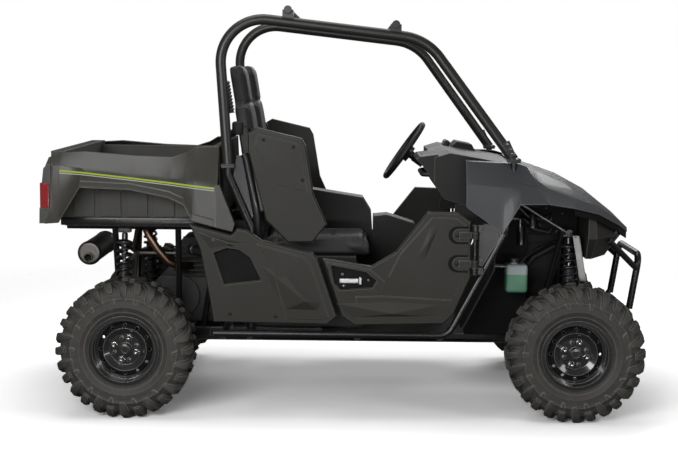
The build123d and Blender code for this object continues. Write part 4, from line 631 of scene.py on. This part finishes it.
def strap(shape, points, width, thick, across, material=0):
    """A flat strap laid through points, with its width along one direction."""
    points, across = [Vector(p) for p in points], Vector(across).normalized() * width / 2
    faces_before = set(shape.faces)
    rows = []
    for k, point in enumerate(points):
        along = (points[min(k + 1, len(points) - 1)] - points[max(k - 1, 0)]).normalized()
        lift = along.cross(across).normalized() * thick / 2
        rows.append([point - across - lift, point + across - lift, point + across + lift, point - across + lift])
    ring, edges = lay_line(shape, rows[0], closed=True)
    bmesh.ops.contextual_create(shape, geom=edges)
    edges = sweep_rows(shape, ring, edges, rows[1:])
    bmesh.ops.contextual_create(shape, geom=edges)
    settle_faces(shape, faces_before, material)


belt_webbing = surface_material("belt_webbing", (0.014, 0.014, 0.014), 0.7, grain=900.0, depth=0.8, tone=0.3)
button_red = surface_material("button_red", (0.42, 0.012, 0.012), 0.35, grain=300.0, depth=0.1)
BELT_RUN = ((-0.536, 0.470, 1.372), (-0.500, 0.470, 1.376), (-0.462, 0.474, 1.350), (-0.430, 0.484, 1.240),
            (-0.392, 0.498, 1.060), (-0.352, 0.512, 0.930), (-0.345, 0.520, 0.840), (-0.350, 0.524, 0.790))
STAY_RUN = ((-0.505, 0.580, 1.250), (-0.495, 0.580, 1.232), (-0.442, 0.580, 0.958), (-0.440, 0.566, 0.860),
            (-0.440, 0.534, 0.752))
SLEEVE = [(0, 0)] + [(0.010 if k % 2 else 0.016, 0.008 * k) for k in range(20)] + [(0, 0.156)]
BELT_BLOCKS = (
    # middle, size, rounding, material: guide, floor anchor, buckle and its button
    ((-0.545, 0.470, 1.365), (0.050, 0.070, 0.064), 0.010, 1),
    ((-0.346, 0.526, 0.792), (0.044, 0.020, 0.060), 0.005, 1),
    ((-0.285, 0.079, 0.892), (0.034, 0.012, 0.072), 0.004, 1),
    ((-0.283, 0.079, 0.927), (0.024, 0.010, 0.010), 0.002, 2),
)
belts = bmesh.new()
for side in (-1, 1):
    strap(belts, [(x, side * y, z) for x, y, z in BELT_RUN], 0.046, 0.0022, ALONG_Y)
    for (x, y, z), size, round_off, material in BELT_BLOCKS:
        brick(belts, (x, side * y, z), size, round_off, material)
    pipe(belts, [(-0.300, side * 0.079, 0.800), (-0.290, side * 0.079, 0.860)], 0.005, 10, 1)
    sleeve = turn_profile(belts, SLEEVE, 20, 3)
    stand_between(belts, sleeve, (-0.566, side * 0.548, 1.440), (-0.592, side * 0.540, 1.596))
    pipe(belts, [(x, side * y, z) for x, y, z in STAY_RUN], 0.020, 18, 3)
add_piece("seat_belts", belts, [belt_webbing, cabin_plastic, button_red, cap_gloss], "chassis")

# Doors, side panels and shoulder bolsters: charcoal mouldings with a fine tool grain, bolted to the tubes.
# Each door has a bright latch lever in its pocket, pan-head screws round it and bolted hinge straps.

charcoal_plastic = surface_material("charcoal_plastic", (0.0235, 0.0224, 0.0180), 0.46, grain=480.0, depth=0.35,
                                    tone=0.2, specular=0.32, painted_highlight=0.6)
# shadow_black is near-black painted shade for sheets put in recesses and gaps; the hinge straps are also made in it.
shadow_black = surface_material("shadow_black", (0.0035, 0.0035, 0.0035), 0.7, grain=480.0, depth=0.35, specular=0.25,
                                painted_highlight=0.0)
dress(charcoal_plastic, "door_left", "door_right", "side_panels", "shoulder_bolsters", "front_grille")
dress(cabin_plastic, "under_hood_bin")
latch_alloy = surface_material("latch_alloy", (0.50, 0.50, 0.49), 0.3, grain=160.0, depth=0.15, metallic=1.0)
bolt_black = surface_material("bolt_black", (0.03, 0.03, 0.03), 0.35, grain=200.0, depth=0.1, metallic=0.6)


def bolt(shape, foot, facing, radius, material=0):
    """A button head with a hex socket, standing on a face."""
    head = ((1, 0), (0.98, 0.18), (0.82, 0.42), (0.5, 0.55))
    socket = ((0.5, 0.55), (0.42, 0.2), (0, 0.2))
    made = []
    for profile, steps in ((head, 18), (socket, 6)):
        made += turn_profile(shape, [(radius * r, radius * up) for r, up in profile], steps, material)
    stand_between(shape, made, foot, Vector(foot) + Vector(facing))


def facets(shape, rim, peak, material=0):
    """A low pyramid on a panel: a flat rim poked up to one peak, facing the side that the panel is on."""
    faces_before = set(shape.faces)
    edges = lay_line(shape, rim, closed=True)[1]
    face = bmesh.ops.contextual_create(shape, geom=edges)["faces"]
    bmesh.ops.poke(shape, faces=face)["verts"][0].co = peak
    shape.normal_update()
    for part in shape.faces:
        if part not in faces_before:
            part.material_index = material
            if part.normal.y * peak[1] < 0:
                part.normal_flip()


DOOR_FACE, POCKET_FLOOR = 0.7035, 0.680
POCKET = [(-0.086, 0.735), (0.078, 0.704), (0.126, 0.664), (0.108, 0.632), (-0.040, 0.620), (-0.069, 0.650)]
POCKET_SCREWS = ((-0.034, 0.692), (-0.026, 0.636), (0.090, 0.664))
HINGE_X, HINGE_END, HINGE_RADIUS, HINGE_HEIGHTS = 0.502, 0.552, 0.041, (0.751, 0.885)
DOOR_RIB = [(0.405, 0.940), (0.376, 0.925), (0.318, 0.785), (0.334, 0.760), (0.356, 0.775), (0.412, 0.915)]
DOOR_SILL = [(-0.060, 0.556), (0.170, 0.572), (0.440, 0.556), (0.400, 0.500), (0.020, 0.492)]
for side_name, side in SIDES:
    fittings = bmesh.new()
    # The pocket's floor is a near-black plate: painted shade in the recess.
    plate(fittings, POCKET, side * 0.6802, side * 0.6812, 2)
    for z in HINGE_HEIGHTS:
        turn = [radians(angle) for angle in range(90, 271, 15)]
        bezel = [(HINGE_X + HINGE_RADIUS * cos(a), z + HINGE_RADIUS * sin(a)) for a in turn]
        outline = [(HINGE_END, z + HINGE_RADIUS)] + bezel + [(HINGE_END, z - HINGE_RADIUS)]
        plate(fittings, outline, side * 0.6996, side * 0.7052, 2)
    for rim, (x, y, z) in ((DOOR_RIB, (0.366, 0.7095, 0.850)), (DOOR_SILL, (0.200, 0.7125, 0.512))):
        facets(fittings, [(a, side * DOOR_FACE, b) for a, b in rim], (x, side * y, z), 3)
    brick(fittings, (0.004, side * 0.6860, 0.662), (0.1056, 0.0136, 0.0256), 0.004, 0)
    brick(fittings, (0.051, side * 0.6880, 0.663), (0.0156, 0.0176, 0.0396), 0.004, 0)
    for x, z in POCKET_SCREWS:
        bolt(fittings, (x, side * POCKET_FLOOR, z), (0, side, 0), 0.008, 0)
    for z in HINGE_HEIGHTS:
        for x in (HINGE_X, 0.540):
            bolt(fittings, (x, side * 0.708, z), (0, side, 0), 0.0095, 1)
    add_piece(f"door_fittings_{side_name}", fittings, [latch_alloy, bolt_black, shadow_black, charcoal_plastic],
              f"{side_name}_door", (), 8.0)

BOLTS = (
    # x, y from the middle, z: three on each bolster, three on each side panel
    (-0.410, 0.624, 1.318), (-0.270, 0.624, 1.286), (-0.225, 0.624, 1.130),
    (-0.640, 0.700, 0.850), (-0.560, 0.700, 0.500), (-0.345, 0.700, 0.490),
)
INTAKE = [(-0.637, 0.788), (-0.577, 0.811), (-0.483, 0.797), (-0.417, 0.662), (-0.588, 0.641)]
SHADE_PLATE = [(-0.640, 0.850), (-0.480, 0.850), (-0.480, 0.935), (-0.640, 0.935)]
WEDGE = [(-0.412, 0.728), (-0.301, 0.688), (-0.130, 0.560), (-0.150, 0.522), (-0.300, 0.526)]
BROW = [(-0.720, 0.890), (-0.560, 0.850), (-0.480, 0.835), (-0.395, 0.720), (-0.470, 0.812), (-0.580, 0.826),
        (-0.655, 0.806)]
panel_bolts = bmesh.new()
for side in (-1, 1):
    for x, y, z in BOLTS:
        bolt(panel_bolts, (x, side * y, z), (0, side, 0), 0.008)
    # Near-black plates paint shade into the intake's recess and onto a plate hung between the side panel and the box.
    plate(panel_bolts, INTAKE, side * 0.6724, side * 0.6740, 1)
    plate(panel_bolts, SHADE_PLATE, side * 0.600, side * 0.604, 1)
    wedge = [(x, side * (0.7045 if x > -0.39 else 0.6995), z) for x, z in WEDGE]
    facets(panel_bolts, wedge, (-0.205, side * 0.7165, 0.566), 2)
    facets(panel_bolts, [(x, side * 0.6995, z) for x, z in BROW], (-0.560, side * 0.7105, 0.836), 2)
add_piece("panel_bolts", panel_bolts, [bolt_black, shadow_black, charcoal_plastic], "chassis",
          (), 8.0)

# Hood and front fenders: slate panels under a clear coat, moulded with a crown and one fold along each side.
# Below the hood's lip the charcoal nose holds a lamp in each corner; the guard in front is bent tube.

SLATE, SLATE_ROUGHNESS = (0.045, 0.048, 0.052), 0.46
SLATE_FINISH = {"grain": 900.0, "depth": 0.03, "tone": 0.1, "coat": 0.10}
slate_paint = surface_material("slate_paint", SLATE, SLATE_ROUGHNESS, painted_highlight=0.7, **SLATE_FINISH)
slate_patch = surface_material("slate_patch", SLATE, SLATE_ROUGHNESS, painted_highlight=0.0, **SLATE_FINISH)
add_piece("hood_skin", node_shape("hood"), [slate_paint], "chassis", ("hood",), 16.0)
add_piece("front_fender_skins", node_shape("front_fenders"), [slate_paint], "chassis",
          ("front_fenders",), 12.0)


def skin(shape, rows, thick, material=0):
    """A sheet through rows of points: the first row's edges extruded from row to row, then given a thickness."""
    faces_before = set(shape.faces)
    sweep_rows(shape, *lay_line(shape, rows[0]), rows[1:])
    sheet = settle_faces(shape, faces_before, material)
    bmesh.ops.solidify(shape, geom=sheet, thickness=thick)
    settle_faces(shape, faces_before, material)


FOOT_PATCH = (
    # the fender's inner flange, top edge and side, from behind the cage's foot to the hood's seam
    ((0.7180, 0.480, 1.2190), (0.7180, 0.589, 1.2172), (0.7180, 0.6375, 1.1330)),
    ((0.7970, 0.480, 1.2142), (0.7970, 0.582, 1.2122), (0.7970, 0.6385, 1.1260)),
    ((0.8345, 0.480, 1.2030), (0.8345, 0.580, 1.1997), (0.8805, 0.6390, 1.1120)),
)
SEAM = (
    # y, then x and z of the fender's edge and of the hood's edge
    (0.455, 0.8280, 1.1800, 0.8600, 1.1600),
    (0.470, 0.8290, 1.2035, 0.8600, 1.1660),
    (0.532, 0.8335, 1.2005, 0.8665, 1.1545),
    (0.578, 0.8355, 1.1965, 0.8835, 1.1225),
    (0.600, 0.8520, 1.1635, 0.8945, 1.1035),
    (0.620, 0.8680, 1.1348, 0.9035, 1.0870),
    (0.640, 0.8820, 1.1083, 0.9125, 1.0705),
    (0.655, 0.8920, 1.0898, 0.9185, 1.0590),
    (0.670, 0.9050, 1.0660, 0.9245, 1.0478),
    (0.683, 0.9170, 1.0450, 0.9295, 1.0385),
)
HOOD_LIP = (
    # x, lip y, lip z
    (1.054, 0.688, 1.015),
    (1.181, 0.600, 0.980),
    (1.308, 0.432, 0.912),
    (1.379, 0.262, 0.862),
)
LIP_INSET, SHADE_STRIP_THICK = 0.020, 0.006
# Near-black strips under the hood's lip, across the nose and at the cowl are painted shade in the gaps; the slate
# sheets fill the seams.
gap_fill = bmesh.new()
for side in (-1, 1):
    skin(gap_fill, [[(x, side * y, z) for x, y, z in row] for row in FOOT_PATCH], 0.003, 1)
    skin(gap_fill, [((x, side * y, z), (x_hood, side * y, z_hood)) for y, x, z, x_hood, z_hood in SEAM], 0.002, 1)
    lip = [(x, side * (y - LIP_INSET), z - LIP_INSET) for x, y, z in HOOD_LIP]
    for run in zip(lip, lip[1:]):
        strap(gap_fill, run, 0.034, SHADE_STRIP_THICK, ALONG_Z)
strap(gap_fill, [(1.372, -0.250, 0.846), (1.372, 0.250, 0.846)], 0.030, SHADE_STRIP_THICK, ALONG_Z)
strap(gap_fill, [(0.814, -0.474, 1.187), (0.814, 0.000, 1.190), (0.814, 0.474, 1.187)], 0.046, SHADE_STRIP_THICK, (1, 0, 0))
add_piece("hood_gap_fill", gap_fill, [shadow_black, slate_patch], "chassis")
lamp_clear = surface_material("lamp_clear", (0.30, 0.31, 0.32), 0.06, grain=60.0, depth=0.3, coat=0.8)
dress(lamp_clear, "headlamps")

# Under the hood: an alloy radiator with rubber hoses, and the coolant bottle, blown in thin milky plastic.
# Near-black liners close the wheel arches, their colour also painted shade for the dark arches; stays, cans and looms
# are bolted or clipped to them.


def bottle_material():
    """Milky plastic that shows the green coolant up to its level."""
    material = surface_material("bottle_plastic", (0.62, 0.66, 0.60), 0.35, grain=60.0, depth=0.1, tone=0.1)
    tree = material.node_tree
    place = add_node(tree, "ShaderNodeTexCoord").outputs["Object"]
    height = add_node(tree, "ShaderNodeSeparateXYZ", {0: place}).outputs["Z"]
    filled = add_node(tree, "ShaderNodeMapRange", {"Value": height, "From Min": 0.664, "From Max": 0.660}).outputs[0]
    colours = {0: filled, 6: (0.34, 0.39, 0.39, 1), 7: (0.10, 0.27, 0.17, 1)}
    tint = add_node(tree, "ShaderNodeMix", colours, data_type="RGBA").outputs[2]
    surface = next(n for n in tree.nodes if n.type == "GROUP")
    tree.links.new(tint, surface.inputs["Color"])
    return material


dress(bottle_material(), "coolant_bottle")
radiator_alloy = surface_material("radiator_alloy", (0.10, 0.10, 0.10), 0.5, grain=90.0, depth=0.6, metallic=0.8,
                                  dust=0.1)
dress(radiator_alloy, "radiator")
hose_rubber = surface_material("hose_rubber", (0.012, 0.012, 0.012), 0.55, grain=350.0, depth=0.3)
stay_alloy = surface_material("stay_alloy", (0.30, 0.30, 0.29), 0.38, grain=160.0, depth=0.2, metallic=0.9)
BOTTLE_CAP = [(0.0275, 0.0), (0.0275, 0.020), (0.024, 0.0225), (0.0, 0.0225)]
HOSE_LEVELS = {-1: (0.780, 0.560), 1: (0.700, 0.540)}  # z at the radiator and above the floor
OVERFLOW = [(0.830, -0.386, 0.700), (0.860, -0.370, 0.735), (0.930, -0.300, 0.780), (1.040, -0.210, 0.800),
            (1.090, -0.195, 0.800)]
LINER = [(0.548, 0.335), (0.885, 0.335), (0.885, 0.842), (1.130, 0.842), (1.130, 1.048), (1.050, 1.086), (0.930, 1.136),
         (0.815, 1.178), (0.770, 1.178), (0.770, 0.990), (0.702, 0.990), (0.702, 0.690), (0.548, 0.410)]
STAY = [(1.0755, 0.8625), (1.1085, 0.8625), (1.1485, 0.6395), (1.1155, 0.6395)]
CANS = (
    # x, z, radius, height
    (0.905, 0.880, 0.026, 0.070),
    (0.850, 0.790, 0.018, 0.090),
)
LINER_Y = 0.280
bay = bmesh.new()
bmesh.ops.translate(bay, vec=(0.805, -0.386, 0.7175), verts=turn_profile(bay, BOTTLE_CAP, 36, 1))
pipe(bay, OVERFLOW, 0.006, 12, 0)
for side, (high, low) in HOSE_LEVELS.items():
    hose = [(1.090, 0.192, high), (1.060, 0.198, high), (1.020, 0.203, high - 0.01), (0.930, 0.205, high - 0.06),
            (0.840, 0.205, low + 0.06), (0.760, 0.205, low + 0.02), (0.622, 0.205, low + 0.02)]
    pipe(bay, [(x, side * y, z) for x, y, z in hose], 0.016, 18, 0)
    # The liners are near-black: painted shade for the dark arches.
    plate(bay, LINER, side * 0.278, side * 0.282, 2)
    plate(bay, STAY, side * 0.4768, side * 0.4832, 3)
    pipe(bay, [(0.758, side * 0.420, 1.052), (1.058, side * 0.420, 0.870)], 0.0065, 12, 3)
    brick(bay, (0.766, side * 0.400, 0.934), (0.130, 0.030, 0.008), 0.002, 3)
    brick(bay, (0.829, side * 0.400, 0.905), (0.008, 0.050, 0.066), 0.002, 3)
    for x, z, radius, high_z in CANS:
        profile = [(0, 0), (radius, 0), (radius, high_z), (radius * 0.8, high_z + 0.008), (0, high_z + 0.008)]
        can = turn_profile(bay, profile, 28, 1)
        bmesh.ops.translate(bay, vec=(x, side * (LINER_Y + radius), z), verts=can)
    for k in range(3):
        drop = 0.032 * k
        loom = [(0.785 + drop, LINER_Y, 1.060), (0.800 + drop, 0.310, 1.050), (0.850 + drop, 0.318, 1.000),
                (0.920 + drop, 0.314, 0.985), (0.965 + drop / 2, 0.308, 1.000), (0.980 + drop / 2, LINER_Y, 1.010)]
        pipe(bay, [(x, side * y, z - 2 * drop) for x, y, z in loom], 0.006 + 0.001 * k, 10, k % 2)
    for k in range(7):
        bolt(bay, (0.890 + 0.028 * k, side * 0.282, 0.860 + 0.030 * ((3 * k) % 5)), (0, side, 0), 0.007, 3)
add_piece("cooling_hoses", bay, [hose_rubber, cap_gloss, shadow_black, stay_alloy], "chassis")

# Roll cage: 50 mm steel tube bent cold and powder coated, bolted through flanges, with roof bars on saddles.
# Each front leg is held by a clamp plate with three bright bolts.

cage_coat = surface_material("cage_coat", (0.020, 0.0195, 0.0180), 0.36, grain=260.0, depth=0.12)
dress(cage_coat, "cage_sides", "cage_crossbars")
FLANGES = ((0.771, 1.236), (-0.580, 1.200))  # x, z of their tops
CLAMP = [(0.716, 1.314), (0.750, 1.242), (0.778, 1.254), (0.744, 1.326)]
CLAMP_FACE = 0.6185
flange_bolts = bmesh.new()
for side in (-1, 1):
    for x, z in FLANGES:
        for dx in (-0.024, 0.024):
            for dy in (-0.022, 0.022):
                bolt(flange_bolts, (x + dx, side * 0.590 + dy, z), ALONG_Z, 0.0065)
    plate(flange_bolts, CLAMP, side * 0.6125, side * CLAMP_FACE, 0)
    for k in range(3):
        bolt(flange_bolts, (0.736 + 0.014 * k, side * CLAMP_FACE, 1.306 - 0.023 * k), (0, side, 0), 0.0075, 1)
add_piece("cage_bolts", flange_bolts, [bolt_black, nut_zinc], "chassis")

# Cargo box and its fenders: black moulded tub, grey fenders with one fold, red lamps at the tail.
# Two thin stripes of film follow the fold on each side.

bed_grey = surface_material("bed_grey", (0.046, 0.0445, 0.0385), 0.38, grain=600.0, depth=0.12, tone=0.15, painted_highlight=0.6)
add_piece("bed_fender_skins", node_shape("bed_fenders"), [bed_grey], "chassis", ("bed_fenders",), 12.0)
box_plastic = surface_material("box_plastic", (0.036, 0.0345, 0.030), 0.5, grain=420.0, depth=0.45, painted_highlight=0.5)
dress(box_plastic, "cargo_box")
sills = bmesh.new()
for side in (-1, 1):
    brick(sills, (-1.010, side * 0.496, 0.9125), (0.770, 0.034, 0.040), 0.004)
add_piece("box_sills", sills, [frame_coat], "chassis")
lamp_red = surface_material("lamp_red", (0.33, 0.010, 0.014), 0.1, grain=60.0, depth=0.05, coat=0.8)
dress(lamp_red, "tail_lamps")

FOLD = (
    # x, fold y, fold z, low edge y, low edge z of the fender's side
    (-1.371, 0.634, 1.188, 0.672, 0.921),
    (-1.266, 0.636, 1.178, 0.690, 1.090),
    (-1.029, 0.638, 1.152, 0.692, 1.081),
    (-0.852, 0.640, 1.134, 0.692, 1.045),
    (-0.782, 0.640, 1.126, 0.692, 1.013),
    (-0.740, 0.640, 1.122, 0.692, 0.938),
    (-0.640, 0.638, 1.111, 0.690, 0.911),
)
LIP_FOOT, LIP_PROUD = 0.004, 0.0045
LIP_PROFILE = ((0, 0), (0.026, 0), (0.034, 1))  # height above the foot, share of the way back to the fender
lips = bmesh.new()
for side in (-1, 1):
    rows = []
    for x, y, z, y_low, z_low in FOLD:
        up = Vector((0, y - y_low, z - z_low)).normalized()
        out = Vector((0, up.z, -up.y)) * LIP_PROUD
        low = Vector((x, y_low, z_low)) + out + up * LIP_FOOT
        spots = [low + up * step - out * inward for step, inward in LIP_PROFILE]
        rows.append([(p.x, side * p.y, p.z) for p in spots])
    skin(lips, rows, 0.002)
add_piece("arch_lips", lips, [bed_grey], "chassis", (), 12.0)
stripe_green = surface_material("stripe_green", (0.34, 0.46, 0.03), 0.35, grain=500.0, depth=0.02, tone=0.05)
stripe_grey = surface_material("stripe_grey", (0.42, 0.42, 0.40), 0.35, grain=500.0, depth=0.02, tone=0.05)
STRIPES = (
    # material, distance below the fold, width
    (0, 0.020, 0.009),
    (1, 0.033, 0.005),
)
FILM_LIFT = 0.0007
film = bmesh.new()
for side in (-1, 1):
    for material, start, width in STRIPES:
        rows = []
        for x, y, z, y_low, z_low in FOLD:
            down = Vector((0, y_low - y, z_low - z)).normalized()
            lift = Vector((0, -down.z, down.y)) * FILM_LIFT
            spots = [Vector((x, y, z)) + down * (start + step) + lift for step in (0, width)]
            rows.append([(p.x, side * p.y, p.z) for p in spots])
        faces_before = set(film.faces)
        sweep_rows(film, *lay_line(film, rows[0]), rows[1:])
        made = settle_faces(film, faces_before, material)
        if made[0].normal.y * side < 0:
            bmesh.ops.reverse_faces(film, faces=made)
add_piece("side_stripes", film, [stripe_green, stripe_grey], "chassis")

# Muffler: a rolled steel can under the box, browned by heat, with seamed ends and a short tail pipe.
# The seams are rolled over the can's ends; the pipe is sooted inside.

exhaust_steel = surface_material("exhaust_steel", (0.16, 0.15, 0.14), 0.42, grain=120.0, depth=0.2, metallic=1.0,
                                 tone=0.5)
dress(exhaust_steel, "muffler")
soot = surface_material("soot", (0.004, 0.004, 0.004), 0.9, grain=200.0, depth=0.4)
CAN_X = -1.300
ROLLED_SEAM = [(0.0575, -0.006), (0.0605, -0.004), (0.0605, 0.004), (0.0575, 0.006)]
can_ends = bmesh.new()
for y in (-0.284, 0.144):
    seam = turn_profile(can_ends, ROLLED_SEAM, 56, 0, ALONG_Y)
    bmesh.ops.translate(can_ends, vec=(CAN_X, y, 0.728), verts=seam)
tail = turn_profile(can_ends, [(0.017, -0.036), (0.0215, -0.036), (0.0215, 0.004)], 32, 0, ALONG_Y)
tail += turn_profile(can_ends, [(0.017, -0.036), (0.017, -0.002), (0.0, -0.002)], 32, 1, ALONG_Y)
bmesh.ops.translate(can_ends, vec=(CAN_X, -0.300, 0.712), verts=tail)
add_piece("muffler_ends", can_ends, [exhaust_steel, soot], "chassis")

# Studio: a pale floor that takes the shadow and clears to white, soft boxes overhead and in front, and the camera.
# The floor is clear from below, so that the underside can be seen.

FLOOR_GREY, FLOOR_WHITE = 0.16, 2.0  # paint for bounced light, and for the camera, to read as white paper
FADE_START, FADE_END = 2.2, 5.0


def floor_material():
    """White floor for the camera, with the object's soft shadow, fading into the backdrop and clear from below."""
    material = bpy.data.materials.new("studio_floor")
    material.use_nodes = True
    tree = material.node_tree
    tree.nodes.remove(tree.nodes["Principled BSDF"])
    seen = add_node(tree, "ShaderNodeLightPath").outputs["Is Camera Ray"]
    tone = add_node(tree, "ShaderNodeMapRange", {"Value": seen, "To Min": FLOOR_GREY, "To Max": FLOOR_WHITE}).outputs[0]
    paint = add_node(tree, "ShaderNodeBsdfDiffuse", {"Color": tone}).outputs[0]
    clear = add_node(tree, "ShaderNodeBsdfTransparent").outputs[0]
    place = add_node(tree, "ShaderNodeTexCoord").outputs["Object"]
    reach = add_node(tree, "ShaderNodeVectorMath", {0: place}, operation="LENGTH").outputs["Value"]
    far = {"Value": reach, "From Min": FADE_START, "From Max": FADE_END}
    fade = add_node(tree, "ShaderNodeMapRange", far).outputs[0]
    below = add_node(tree, "ShaderNodeNewGeometry").outputs["Backfacing"]
    through = add_node(tree, "ShaderNodeMath", {0: fade, 1: below}, operation="MAXIMUM").outputs[0]
    mixed = add_node(tree, "ShaderNodeMixShader", {0: through, 1: paint, 2: clear}).outputs[0]
    tree.links.new(mixed, tree.nodes["Material Output"].inputs["Surface"])
    return material


floor_shape = bmesh.new()
bmesh.ops.create_circle(floor_shape, cap_ends=True, segments=64, radius=6.0)
floor_shape.normal_update()
bmesh.ops.reverse_faces(floor_shape, faces=[f for f in floor_shape.faces if f.normal.z < 0])
floor_mesh = bpy.data.meshes.new("studio_floor")
floor_shape.to_mesh(floor_mesh)
floor_shape.free()
floor_mesh.materials.append(floor_material())
studio_floor = bpy.data.objects.new("studio_floor", floor_mesh)
bpy.context.scene.collection.objects.link(studio_floor)

WORLD_LIGHT, WORLD_WHITE = 0.17, 1.0
world = bpy.data.worlds.new("studio")
world.use_nodes = True
bpy.context.scene.world = world
sky = world.node_tree.nodes["Background"]
path = add_node(world.node_tree, "ShaderNodeLightPath").outputs
rays = {0: path["Is Camera Ray"], 1: path["Is Transmission Ray"]}
seen = add_node(world.node_tree, "ShaderNodeMath", rays, operation="MAXIMUM").outputs[0]
level = {"Value": seen, "To Min": WORLD_LIGHT, "To Max": WORLD_WHITE}
strength = add_node(world.node_tree, "ShaderNodeMapRange", level).outputs[0]
world.node_tree.links.new(strength, sky.inputs["Strength"])
sky.inputs["Color"].default_value = (1, 1, 1, 1)

SOFT_BOXES = (
    # name, place, aim, size x, size y, watts
    ("overhead", (-0.3, 0.4, 4.6), (0.0, 0.0, 0.6), 4.4, 2.0, 84.0),
    ("near_side", (-1.8, -5.4, 2.5), (0.0, 0.0, 0.6), 3.2, 1.4, 126.0),
    ("far_side", (1.2, 4.8, 3.0), (0.0, 0.0, 0.9), 3.0, 1.8, 60.0),
    ("nose", (4.2, -3.0, 2.4), (0.9, -0.4, 0.7), 1.2, 1.2, 22.0),
    ("low_strip", (0.4, -4.6, 0.5), (0.0, 0.0, 0.5), 5.0, 0.16, 36.0),
)
for name, place, aim, size_x, size_y, watts in SOFT_BOXES:
    lamp = bpy.data.lights.new(name, "AREA")
    lamp.shape = "RECTANGLE"
    lamp.size, lamp.size_y = size_x, size_y
    lamp.energy = watts
    holder = bpy.data.objects.new(name, lamp)
    holder.location = place
    holder.rotation_euler = (Vector(aim) - Vector(place)).to_track_quat("-Z", "Y").to_euler()
    bpy.context.scene.collection.objects.link(holder)

CAMERA_PLACE = (0.0082, -7.0, 1.6416)
CAMERA_PAN, CAMERA_DOWN, CAMERA_ROLL = [radians(angle) for angle in (0.539, 6.509, 0.517)]
camera = bpy.data.cameras.new("photo_camera")
camera.lens, camera.sensor_width = 72.05, 36.0
camera_holder = bpy.data.objects.new("photo_camera", camera)
camera_holder.matrix_world = (
    Matrix.Translation(CAMERA_PLACE)
    @ Matrix.Rotation(CAMERA_PAN, 4, "Z")
    @ Matrix.Rotation(pi / 2 - CAMERA_DOWN, 4, "X")
    @ Matrix.Rotation(CAMERA_ROLL, 4, "Z")
)
bpy.context.scene.collection.objects.link(camera_holder)
bpy.context.scene.camera = camera_holder
bpy.context.scene.view_settings.view_transform = "Standard"
